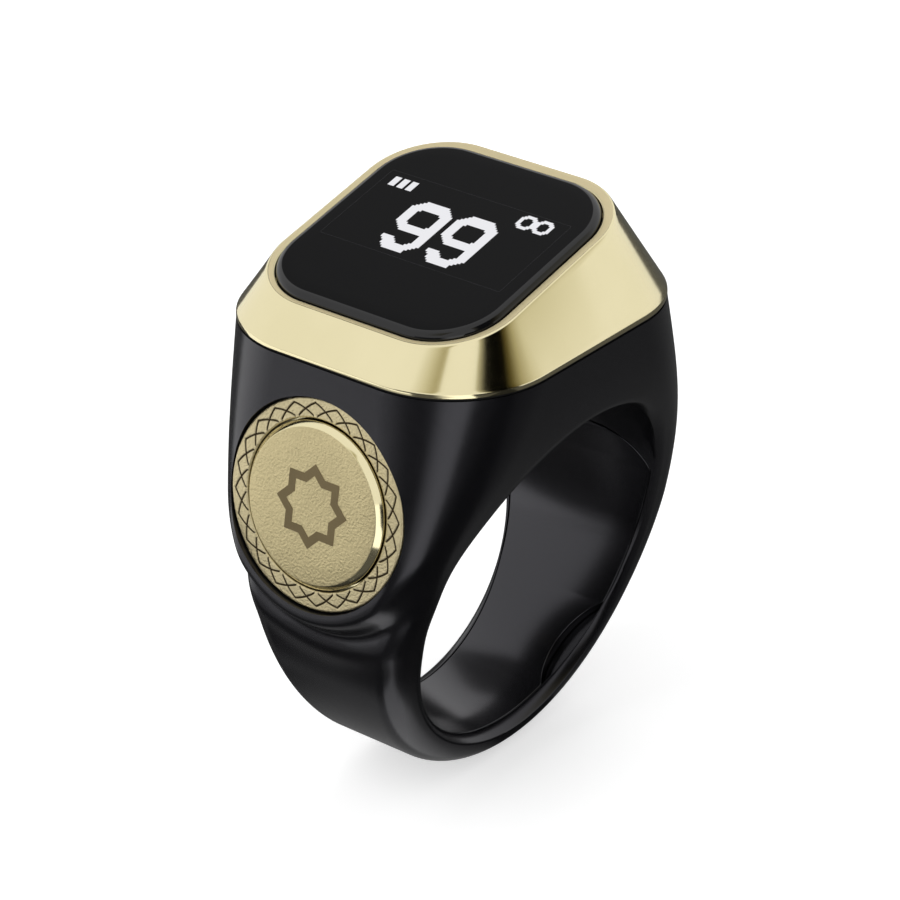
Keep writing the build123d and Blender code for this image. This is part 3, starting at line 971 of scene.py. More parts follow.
    def open_button_bore(self, points: Array, quads: Array) -> tuple[Array, Array, Array]:
        """Cuts the stepped bore of the button.

        Points within half a cell of the seat's circle are drawn onto it, the faces inside it go, and the
        loop that is left is carried down the bore's profile of radius and depth.

        Args:
            points: Vertex places.
            quads: Faces.

        Returns:
            Vertex places and faces of the bored shell, and the loop of vertices at the bore's end.
        """
        u, v, n = BUTTON_PLANE.measure(points)
        r, phi = np.hypot(u, v), np.arctan2(v, u)
        near = (points[:, 0] < self.seat_x) & (n > -self.seat_depth)
        wide, high = self.seat_cell
        cell = np.maximum(wide * np.abs(np.cos(phi)), high * np.abs(np.sin(phi)))
        snap = near & (np.abs(r - self.seat_r) <= cell / 2.0)
        scale = np.where(snap, self.seat_r / np.maximum(r, 1e-6), 1.0)
        height = np.where(snap, self.housing_height(u * scale, v * scale), n)
        points = np.where(snap[:, None], BUTTON_PLANE.place(u * scale, v * scale, height), points)
        inside = near & ((r < self.seat_r) | snap)
        kept = quads[~inside[quads].all(axis=1)]
        edges = np.concatenate([kept[:, [k, (k + 1) % 4]] for k in range(4)])
        keys = np.sort(edges, axis=1) @ np.array([len(points), 1])
        _, first, counts = np.unique(keys, return_index=True, return_counts=True)
        loop = np.unique(edges[first[counts == 1]])
        u, v, _ = BUTTON_PLANE.measure(points[loop])
        phi = np.arctan2(v, u)
        order = np.argsort(phi)
        loop, phi = loop[order], phi[order]
        n = self.housing_height(self.seat_r * np.cos(phi), self.seat_r * np.sin(phi))
        points[loop] = BUTTON_PLANE.place_round(self.seat_r, phi, n)
        steps = np.array(self.bore_steps)
        radii = np.concatenate([[self.edge_step[0]], steps[:, 0]])[:, None]
        heights = np.concatenate([[n - self.edge_step[1]], -steps[:, 1:] * np.ones_like(phi)])
        rings = BUTTON_PLANE.place_round(radii, phi, heights)
        added = len(points) + np.arange(radii.size * loop.size).reshape(radii.size, loop.size)
        ids = np.concatenate([loop[None, :], added])
        after = np.roll(ids, -1, axis=1)
        walls = np.stack([ids[:-1], after[:-1], after[1:], ids[1:]], axis=-1).reshape(-1, 4)
        points = np.concatenate([points, rings.reshape(-1, 3)])
        return points, np.concatenate([kept, walls]), ids[-1]

    def build(self) -> bpy.types.Object:
        """Makes the shell and dresses it.

        Returns:
            The piece.
        """
        points, quads, last = self.open_button_bore(*looped(self.sections()))
        faces = quads.tolist() + [last.tolist()]
        return make_piece(
            "ring_shell", points, faces, [GLOSS_BLACK.make()], Body.RING, ["ring_body"], 50.0
        )


@dataclass
class SizingLiner:
    """The satin liner that snaps into the bore: open at the top, with a scoop in its front edge."""

    inner_r: float = 10.0
    outer_r: float = 10.6
    inset: float = 0.41
    top_z: float = 4.45
    corner_r: float = 4.0
    tongue_half: float = 1.8
    scoop_r: float = 4.5
    scoop_y: float = -6.6
    scoop_deg: float = 303.0
    edge_r: float = 0.06
    edge_points: int = 4
    gap: float = 0.09
    rays: int = 260

    def build(self, shell: RingBody) -> bpy.types.Object:
        """Carries a small rounded rectangle round the bore, as wide as the band allows at each angle.

        Args:
            shell: The shell that it lies in.

        Returns:
            The piece.
        """
        middle = (self.inner_r + self.outer_r) / 2.0
        tip = math.degrees(math.asin(self.top_z / middle))
        theta = np.radians(np.linspace(180.0 - tip, 360.0 + tip, self.rays))[:, None]
        z = middle * np.sin(theta)
        tongue = tongue_outline(z, self.top_z, self.corner_r, self.tongue_half)
        widest = np.minimum(shell.half_of(z) - self.inset, shell.inner_half_of(theta) - self.gap)
        half = np.minimum(widest, tongue)
        arc = middle * (theta - math.radians(self.scoop_deg))
        scoop = self.scoop_y + np.sqrt(np.maximum(self.scoop_r ** 2 - arc ** 2, 0.0))
        front = np.where(np.abs(arc) < self.scoop_r, np.maximum(-half, scoop), -half)
        e = self.edge_r
        sine = e * np.sin(quarter_turn(self.edge_points))
        cosine = e * np.cos(quarter_turn(self.edge_points))
        outer, inner = self.outer_r - e, self.inner_r + e
        r_parts = [outer + sine, outer + cosine, inner - sine, inner - cosine]
        y_parts = [half - e + cosine, front + e - sine, front + e - cosine, half - e + sine]
        r = np.concatenate(r_parts) * np.ones_like(theta)
        y = np.concatenate(y_parts, axis=1)
        points, faces = capped(np.stack([r * np.cos(theta), y, r * np.sin(theta)], axis=-1))
        return make_piece(
            "bore_liner", points, faces, [SATIN_BLACK.make()], Body.RING, ["sizing_liner"]
        )


@dataclass
class Bezel:
    """The polished wedge frame between the level head and the tilted glass, with its flat land."""

    base_z: float = 15.07
    base_x: float = -1.125
    base_half: Pair = (10.375, 9.4)
    base_r: float = 6.0
    skirt: float = 0.26
    slope_rings: int = 14
    land_half: Pair = (7.91, 7.65)
    land_r: float = 4.28
    land_shift: float = 0.15
    land_drop: float = 0.35
    pocket_half: Pair = (7.38, 7.12)
    pocket_r: float = 3.75
    ledge_depth: float = 1.32
    window_half: Pair = (6.0, 6.2)
    window_r: float = 0.6

    # How far each rounded edge runs from its corner
    foot_inset: float = 0.12
    foot_edge: float = 0.06
    brim_edge: float = 0.08
    slope_edge: float = 0.12
    land_edge: float = 0.09
    lip_edge: float = 0.07
    edge_rings: int = 4
    land_rings: int = 6

    def level_ring(self, inset: float) -> Array:
        """The base outline drawn in by inset, at the height of the base.

        Args:
            inset: How far inside the outline.

        Returns:
            Ring of points.
        """
        u, v = self.base_half
        flat = rounded_rectangle(u - inset, v - inset, self.base_r - inset)
        return np.stack([flat[:, 0] + self.base_x, flat[:, 1], np.full(len(flat), self.base_z)], -1)

    def tilted_ring(
        self, half: Pair, radius: float, depth: float, shift: float = 0.0, grow: float = 0.0
    ) -> Array:
        """A rounded rectangle in the display's plane.

        Args:
            half: Half sizes.
            radius: Corner radius.
            depth: Depth under the glass.
            shift: Offset uphill.
            grow: How far it stands outside that outline.

        Returns:
            Ring of points.
        """
        flat = rounded_rectangle(half[0] + grow, half[1] + grow, radius + grow)
        return DISPLAY_PLANE.place(flat[:, 0] + shift, flat[:, 1], np.array(-depth))

    def build(self) -> bpy.types.Object:
        """Carries the frame's section, with rounded edges, round its outline.

        Returns:
            The piece.
        """
        up = np.array([0.0, 0.0, 1.0])
        base = self.level_ring(0.0)
        brim = base + self.skirt * up
        land_place = (self.land_half, self.land_r, self.land_drop, self.land_shift)
        land = self.tilted_ring(*land_place)
        on_land = self.tilted_ring(*land_place, grow=-self.land_edge)
        pocket = (self.pocket_half, self.pocket_r)
        lip = self.tilted_ring(*pocket, self.land_drop)
        lip_out = self.tilted_ring(*pocket, self.land_drop, grow=self.lip_edge)
        lip_in = self.tilted_ring(*pocket, self.land_drop + self.lip_edge)
        ledge = self.tilted_ring(*pocket, self.ledge_depth)
        window = self.tilted_ring(self.window_half, self.window_r, self.ledge_depth)
        fall = (self.base_z - window[:, 2:3]) / DISPLAY_PLANE.normal[2]
        below = window + fall * np.array(DISPLAY_PLANE.normal)
        slope = (land - brim) / np.linalg.norm(land - brim, axis=1)[:, None]
        rings = [below, self.level_ring(self.foot_inset)]
        rings += bend(self.level_ring(self.foot_edge), base, base + self.foot_edge * up, self.edge_rings)
        rings += bend(brim - self.brim_edge * up, brim, brim + self.brim_edge * slope, self.edge_rings)
        rings += [brim + (land - brim) * t for t in np.linspace(0.0, 1.0, self.slope_rings)[1:-1]]
        rings += bend(land - self.slope_edge * slope, land, on_land, self.land_rings)
        land_row = len(rings) - 1
        rings += bend(lip_out, lip, lip_in, self.edge_rings)
        rings += [ledge, window]
        points, quads = looped(np.stack(rings))
        is_land = np.repeat(np.arange(len(rings)) == land_row, len(base))
        return make_piece(
            "bezel_frame", points, quads.tolist(), [GOLD_POLISHED.make(), GOLD_LAND.make()], Body.RING,
            ["bezel"], 35.0, is_land,
        )


@dataclass
class CoverGlass:
    """The black 2.5D glass, its lit pixels and the faint edge of the display window under it."""

    half: Pair = (7.33, 7.07)
    radius: float = 3.7
    least_r: float = 0.25
    thickness: float = 1.2
    edge_r: float = 0.45
    edge_points: int = 10
    back_edge: float = 0.06
    top_insets: tuple[float, ...] = (6.2, 4.5, 2.5, 1.2)
    back_insets: tuple[float, ...] = (2.5, 6.2)

    # Lit signs: cell size, and the Y of the left edge and the uphill place of the foot
    film: float = 0.006
    figure_cell: float = 0.149
    figure_places: Stops = ((2.93, -2.10), (-0.07, -2.09))
    loop_cell: float = 0.117
    loop_place: Pair = (-3.06, 2.42)
    bar_cell: float = 0.134
    bar_place: Pair = (5.40, 2.56)
    bar_pitch: float = 0.58
    bar_size: tuple[int, int] = (6, 3)
    bars: int = 3

    # Edge of the display's window
    line_half: Pair = (3.15, 5.96)
    line_r: float = 0.12
    line_w: float = 0.03
    line_shift: Pair = (0.64, 0.02)

    def build_glass(self) -> bpy.types.Object:
        """Flat top, quarter-circle edge, straight wall and flat back, as rings about the middle.

        Returns:
            The piece.
        """
        turn = quarter_turn(self.edge_points)
        insets = np.concatenate([
            self.top_insets, self.edge_r * (1.0 - np.sin(turn)), (0.0, self.back_edge), self.back_insets,
        ])
        drops = np.concatenate([
            np.zeros(len(self.top_insets)), self.edge_r * (1.0 - np.cos(turn)),
            (self.thickness - self.back_edge,), np.full(1 + len(self.back_insets), self.thickness),
        ])
        rings = []
        for inset, drop in zip(insets, drops):
            radius = max(self.radius - inset, self.least_r)
            flat = rounded_rectangle(self.half[0] - inset, self.half[1] - inset, radius)
            rings.append(DISPLAY_PLANE.place(flat[:, 0], flat[:, 1], np.array(-drop)))
        points, faces = capped(np.stack(rings))
        return make_piece(
            "cover_glass", points, faces, [COVER_GLASS.make()], Body.RING, ["display_glass"]
        )

    @staticmethod
    def eight_sided(dx: Array, dy: Array, half: Pair, reach: float) -> Array:
        """Cells of a rectangle with cut corners: the sum of a cell's distances from its middle is limited.

        Args:
            dx: Distance of each cell from the middle, across.
            dy: The same upwards.
            half: Half the rectangle's width and height.
            reach: Limit on the sum.

        Returns:
            Cells inside.
        """
        return (dx < half[0]) & (dy < half[1]) & (dx + dy < reach)

    def digit_nine(self) -> Array:
        """Pixels of a figure 9: an eight-sided ring, a straight right side and a hooked foot.

        The foot lies between straight lines of slope about one and its two level edges. Places are counted
        in cells.

        Returns:
            Lit cells, rows from the foot up.
        """
        y, x = np.mgrid[0:29, 0:18] + 0.5
        dx, ring_dy, hole_dy = np.abs(x - 9.0), np.abs(y - 19.9), np.abs(y - 19.5)
        ring = self.eight_sided(dx, ring_dy, (9.0, 9.2), 13.3)
        hole = self.eight_sided(dx, hole_dy, (5.0, 5.0), 7.6)
        side = (x > 14.0) & (y < 19.9)
        outer = (y > 1.2 * (x - 13.2)) & (y > -1.3 * (x - 5.3))
        inner = (y > 4.0) & (y > 4.0 + 1.15 * (x - 12.0)) & (y > 4.0 - 0.9 * (x - 8.6)) & (x < 14.0)
        foot = outer & ~inner & (y < 6.9) & (x > 1.2)
        return (ring & ~hole) | (side & outer) | foot

    def twin_loop(self) -> Array:
        """Pixels of two small eight-sided rings side by side, with places counted in cells.

        Returns:
            Lit cells, rows from the bottom up.
        """
        y, x = np.mgrid[0:10, 0:18] + 0.5
        dx, dy = np.abs(np.abs(x - 9.0) - 4.4), np.abs(y - 5.0)
        return self.eight_sided(dx, dy, (4.7, 5.0), 7.2) & ~self.eight_sided(dx, dy, (2.8, 3.1), 4.4)

    def tiles(self, cells: Array, place: Pair, size: float) -> Array:
        """Corner points of the lit cells, rows uphill and columns along -Y.

        Args:
            cells: Lit cells, rows from the foot up.
            place: Y of the left edge and uphill place of the foot.
            size: Cell size.

        Returns:
            Corners, cell by cell, as (uphill, y).
        """
        row, col = np.nonzero(cells)
        left, foot = place
        up = foot + size * (row[:, None] + np.array([0.0, 0.0, 1.0, 1.0]))
        y = left - size * (col[:, None] + np.array([0.0, 1.0, 1.0, 0.0]))
        return np.stack([up, y], -1)

    def build_pixels(self) -> bpy.types.Object:
        """Lays all lit cells as flat tiles on the glass.

        Returns:
            The piece.
        """
        parts = [self.tiles(self.digit_nine(), place, self.figure_cell) for place in self.figure_places]
        parts.append(self.tiles(self.twin_loop(), self.loop_place, self.loop_cell))
        left, foot = self.bar_place
        for k in range(self.bars):
            place = (left - self.bar_pitch * k, foot)
            parts.append(self.tiles(np.ones(self.bar_size, bool), place, self.bar_cell))
        flat = np.concatenate(parts).reshape(-1, 2)
        points = DISPLAY_PLANE.place(flat[:, 0], flat[:, 1], np.array(self.film))
        quads = facing_along(points, np.arange(len(flat)).reshape(-1, 4), DISPLAY_PLANE.normal)
        return make_piece(
            "lit_pixels", points, quads.tolist(), [PIXEL_WHITE.make()], Body.RING
        )

    def build_window_line(self) -> bpy.types.Object:
        """A hair-thin frame on the glass where the display's window ends.

        Returns:
            The piece.
        """
        u, v = self.line_half
        outlines = [
            rounded_rectangle(u - inset, v - inset, self.line_r - inset, side=6, corner=4)
            for inset in (0.0, self.line_w)
        ]
        flat = np.concatenate(outlines) + np.array(self.line_shift)
        points = DISPLAY_PLANE.place(flat[:, 0], flat[:, 1], np.array(self.film / 2.0))
        quads = facing_along(points, grid_faces(2, len(outlines[0]), False), DISPLAY_PLANE.normal)
        return make_piece(
            "window_line", points, quads.tolist(), [WINDOW_LINE.make()], Body.RING
        )

    def build(self) -> None:
        """Makes the glass, the pixels and the window's edge."""
        self.build_glass()
        self.build_pixels()
        self.build_window_line()


@dataclass
class TrimRing:
    """The blasted ring round the button, cut with overlapping pointed arches; its inner wall has painted
    shade.
    """

    inner_r: float = 4.62
    outer_r: float = 5.71
    thickness: float = 0.7
    chamfer: float = 0.1
    soft_share: float = 0.3
    face_rings: int = 40

    # Engraving: shares of the ring's width in height, shares of a pitch across, shares of a line's width
    arches: int = 24
    arch_points: int = 44
    peak_share: float = 0.77
    fall_share: float = 0.60
    bow_share: float = 0.13
    end_share: float = 0.88
    fade_share: float = 0.06
    line_w: float = 0.10
    line_depth: float = 0.03
    core_share: float = 0.30
    edge_share: float = 0.40

    def engraving(self, r: Array, phi: Array) -> Array:
        """Share of engraved line at each point.

        Each arch is a pair of limbs that fall from a point near the outer edge, nearly straight, past the
        limbs of both neighbours. The distance to a limb is the radial one times the cosine of its slope.

        Args:
            r: Radii.
            phi: Angles.

        Returns:
            1 in a line, 0 outside it.
        """
        span = self.outer_r - self.inner_r
        pitch = 2.0 * np.pi / self.arches
        place = (phi / pitch) % 1.0 - 0.5
        marks = np.zeros_like(r)
        for peak in (-1.0, 0.0, 1.0):
            t = np.abs(place - peak)
            limb = self.inner_r + span * (self.peak_share - self.fall_share * t - self.bow_share * t * t)
            slope = span * (self.fall_share + 2.0 * self.bow_share * t) / (pitch * r)
            away = np.abs(r - limb) / np.sqrt(1.0 + slope ** 2) / self.line_w
            line = 1.0 - smootherstep((away - self.core_share) / self.edge_share)
            ended = smootherstep((t - self.end_share) / self.fade_share)
            marks = np.maximum(marks, line * (1.0 - ended))
        return marks

    def build(self) -> bpy.types.Object:
        """Revolves the ring's section, with a dense face whose points sink into the engraving lines, and
        marks its inner wall for painted shade.

        Returns:
            The piece.
        """
        phi = full_turn(self.arches * self.arch_points)[None, :]
        ones = np.ones_like(phi)
        c = self.chamfer
        soft = self.soft_share * c
        face_r = np.linspace(self.inner_r + c, self.outer_r - c, self.face_rings)[:, None]
        marks = self.engraving(face_r * ones, phi * np.ones_like(face_r))
        rim = np.array([(self.inner_r, -self.thickness), (self.inner_r, -c), (self.inner_r + soft, -soft)])
        wall = np.array([(self.outer_r - soft, -soft), (self.outer_r, -c), (self.outer_r, -self.thickness)])
        r = np.concatenate([rim[:, :1], face_r, wall[:, :1]])
        n = np.concatenate([rim[:, 1:] * ones, -self.line_depth * marks, wall[:, 1:] * ones])
        points, quads = looped(BUTTON_PLANE.place_round(r, phi, n))
        piece = make_piece(
            "engraved_trim_ring", points, quads.tolist(), [GOLD_ENGRAVED.make()], Body.RING,
            ["button_trim_ring"], 60.0,
        )
        # The inner wall, which faces the cap across a narrow gap, is painted dark as shade by the same
        # attribute as the engraving lines; the outer wall is not.
        gap_shade_rows = np.array([1.0, 1.0, 0.0])[:, None] * ones
        engraving_and_gap_shade_values = np.concatenate([gap_shade_rows, marks, np.zeros_like(gap_shade_rows)]).reshape(-1)
        attribute = piece.data.attributes.new("engraved_and_gap_shade", "FLOAT", "POINT")
        attribute.data.foreach_set("value", engraving_and_gap_shade_values.astype(np.float32))
        return piece


@dataclass
class ThumbButton:
    """The button cap with its polished bevel and blasted face, and the star let into it."""

    cap_r: float = 4.52
    proud: float = 0.34
    bevel: float = 0.3
    bevel_top: Stops = ((-0.06, 0.0), (0.0, 0.012), (0.03, 0.04))
    bevel_foot: Stops = ((-0.03, -0.02), (0.0, 0.03))
    axis_r: float = 0.02
    face_rings: tuple[float, ...] = (1.5, 3.0)
    flange_r: float = 4.98
    flange_top: float = 0.72
    flange_end: float = 1.02
    socket_r: float = 0.63
    socket_depth: float = 0.47
    sides: int = 192
    star_points: int = 8
    star_r: float = 2.35
    star_w: float = 0.46
    star_proud: float = 0.012
    star_depth: float = 0.02

    def build_cap(self) -> bpy.types.Object:
        """Revolves the cap's section about the button's axis.

        The bevel's two corners are rounded by points set off from them, outwards and down.

        Returns:
            The piece.
        """
        socket_end = self.socket_depth - self.flange_end
        face = [(r, self.proud) for r in (self.axis_r, *self.face_rings)]
        face += [(self.cap_r - self.bevel + out, self.proud - down) for out, down in self.bevel_top]
        wall = [(self.cap_r + out, self.proud - self.bevel - down) for out, down in self.bevel_foot]
        wall += [(self.cap_r, -self.flange_top), (self.flange_r, -self.flange_top)]
        back = [(self.flange_r, -self.flange_end), (self.socket_r, -self.flange_end)]
        back += [(self.socket_r, socket_end), (self.axis_r, socket_end)]
        profile = np.array(face + wall + back)
        phi = full_turn(self.sides)[None, :]
        points, faces = capped(BUTTON_PLANE.place_round(profile[:, :1], phi, profile[:, 1:]))
        first_polished = len(self.face_rings) + 2
        polished = np.repeat(np.arange(len(profile) - 1) >= first_polished, self.sides)
        return make_piece(
            "thumb_button_cap", points, faces, [GOLD_SATIN.make(), GOLD_POLISHED.make()], Body.BUTTON,
            ["button_cap"], 35.0, np.concatenate([polished, [False, True]]),
        )

    def build_star(self) -> bpy.types.Object:
        """An eight-pointed star outline, two squares laid across each other, as a thin inlay.

        Its outline is the larger of the two squares' reach at each angle: apothem over the cosine of the
        angle to the side, so its points lie at the corners and its valleys where the sides cross.

        Returns:
            The piece.
        """
        knots = full_turn(2 * self.star_points)
        apothem = self.star_r / math.sqrt(2.0)
        valley = apothem / math.cos(math.pi / self.star_points)
        reach = np.where(np.arange(len(knots)) % 2 == 0, self.star_r, valley)
        inner = reach * (1.0 - self.star_w / apothem)
        over, under = self.proud + self.star_proud, self.proud - self.star_depth
        height = np.array([over, over, under, under])[:, None]
        rims = np.stack([inner, reach, reach, inner])
        points, quads = looped(BUTTON_PLANE.place_round(rims, knots, height))
        return make_piece(
            "button_star_inlay", points, quads.tolist(), [STAR_OLIVE.make()], Body.BUTTON,
            sharp_deg=20.0,
        )

    def build(self) -> None:
        """Makes the cap and its star."""
        self.build_cap()
        self.build_star()


@dataclass
class ChargePads:
    """The two charging pads and their bushes, bowed to the roof of the bore."""

    bore_r: float = 10.0
    pad_r: float = 0.9
    pad_proud: float = 0.05
    bush_r: float = 1.3
    bush_proud: float = 0.02
    wall_depth: float = 0.4
    pad_y: float = 5.9
    ring_shares: tuple[float, ...] = (0.1, 0.5, 0.88, 0.97, 1.0, 1.0)
    drop_shares: tuple[float, ...] = (0.0, 0.0, 0.0, 0.3, 1.0, 1.0)
    sides: int = 48

    def disc(self, middle: float, radius: float, proud: float) -> tuple[Array, list[list[int]]]:
        """Rings of a shallow pad that follow the bore: height is the bore's circle less the stand-proud.

        Args:
            middle: Y of its centre.
            radius: Its radius.
            proud: How far it stands into the bore.

        Returns:
            Points and faces.
        """
        phi = full_turn(self.sides)[None, :]
        r = radius * np.array(self.ring_shares)[:, None]
        drop = np.array(self.drop_shares)[:, None]
        x, y = r * np.cos(phi), middle + r * np.sin(phi)
        z = np.sqrt(self.bore_r ** 2 - x ** 2) - proud * (1.0 - drop)
        z[-1] += self.wall_depth
        return capped(np.stack([x, y, z], -1))

    def build(self) -> None:
        """Makes both pads and both bushes."""
        for name, radius, proud, finish, slot in (
            ("charge_pad_faces", self.pad_r, self.pad_proud, CONTACT_GOLD, "gold_contact"),
            ("charge_bush_faces", self.bush_r, self.bush_proud, CHIP_BLACK, "bush_black"),
        ):
            first, faces = self.disc(self.pad_y, radius, proud)
            second, _ = self.disc(-self.pad_y, radius, proud)
            faces = faces + [(np.array(face) + len(first)).tolist() for face in faces]
            points = np.concatenate([first, second])
            make_piece(name, points, faces, [finish.make()], Body.RING, sharp_deg=30.0)


@dataclass(frozen=True)
class InnerPieces:
    """The sealed pieces that keep their CAD shapes, grouped by the finish that they get."""

    groups: tuple[tuple[Finish, tuple[str, ...]], ...] = (
        (BLACK_RUBBER, ("bezel_gasket", "glass_gasket", "battery_pad", "stem_seal")),
        (COVER_GLASS, ("oled_panel",)),
        (FLEX_AMBER, ("oled_flex", "switch_flex")),
        (BOARD_GREEN, ("main_board",)),
        (STEEL, ("board_screws", "vibration_motor", "gland_washer", "button_stem", "button_spring")),
        (CHIP_BLACK, ("controller_chip", "pin_bushes", "switch_body")),
        (CERAMIC, ("radio_antenna",)),
        (CAPACITOR, ("board_passives",)),
        (CELL_FOIL, ("battery_cell",)),
        (CONTACT_GOLD, ("charge_pins",)),
        (SWITCH_WHITE, ("switch_plunger",)),
    )

    def dress(self, nodes: dict[str, bpy.types.Object]) -> None:
        """Gives each node its material.

        Args:
            nodes: The CAD nodes by name.
        """
        for finish, names in self.groups:
            material = finish.make()
            for name in names:
                nodes[name].data.materials.clear()
                nodes[name].data.materials.append(material)
                LOG.info("%s dressed in %s", name, finish.name)


# Studio


def seen_strength(tree: bpy.types.NodeTree, unseen: float, seen: float) -> bpy.types.NodeSocket:
    """A strength that depends on who looks: the largest of three ray tests picks between two values.

    Args:
        tree: The node tree.
        unseen: Strength as a light on the object.
        seen: Strength for the camera, for reflections and through glass.

    Returns:
        The socket that gives the strength.
    """
    path = tree.nodes.new("ShaderNodeLightPath")
    either, any_ray = (tree.nodes.new("ShaderNodeMath") for _ in range(2))
    either.operation = any_ray.operation = "MAXIMUM"
    span = tree.nodes.new("ShaderNodeMapRange")
    span.inputs["To Min"].default_value = unseen
    span.inputs["To Max"].default_value = seen
    tree.links.new(path.outputs["Is Camera Ray"], either.inputs[0])
    tree.links.new(path.outputs["Is Glossy Ray"], either.inputs[1])
    tree.links.new(either.outputs[0], any_ray.inputs[0])
    tree.links.new(path.outputs["Is Transmission Ray"], any_ray.inputs[1])
    tree.links.new(any_ray.outputs[0], span.inputs["Value"])
    return span.outputs["Result"]


def facing(place: Triple, aim: Triple) -> Array:
    """Axes of something at place that faces aim: its side, its up and its back, as columns.

    Args:
        place: Where it stands.
        aim: What it faces.

    Returns:
        A turning matrix.
    """
    back = np.array(place) - np.array(aim)
    back = back / np.linalg.norm(back)
    side = np.cross((0.0, 0.0, 1.0), back) + np.array([1e-9, 0.0, 0.0])
    side = side / np.linalg.norm(side)
    return np.stack([side, np.cross(back, side), back], axis=1)


def placing(axes: Array, place: Array) -> Matrix:
    """An object's matrix: its axes as columns beside its place, in metres.

    Args:
        axes: A turning matrix.
        place: Where it stands, in millimetres.

    Returns:
        The matrix.
    """
    turn = np.eye(4)
    turn[:3, :3] = axes
    turn[:3, 3] = place * MM
    return Matrix(turn.tolist())


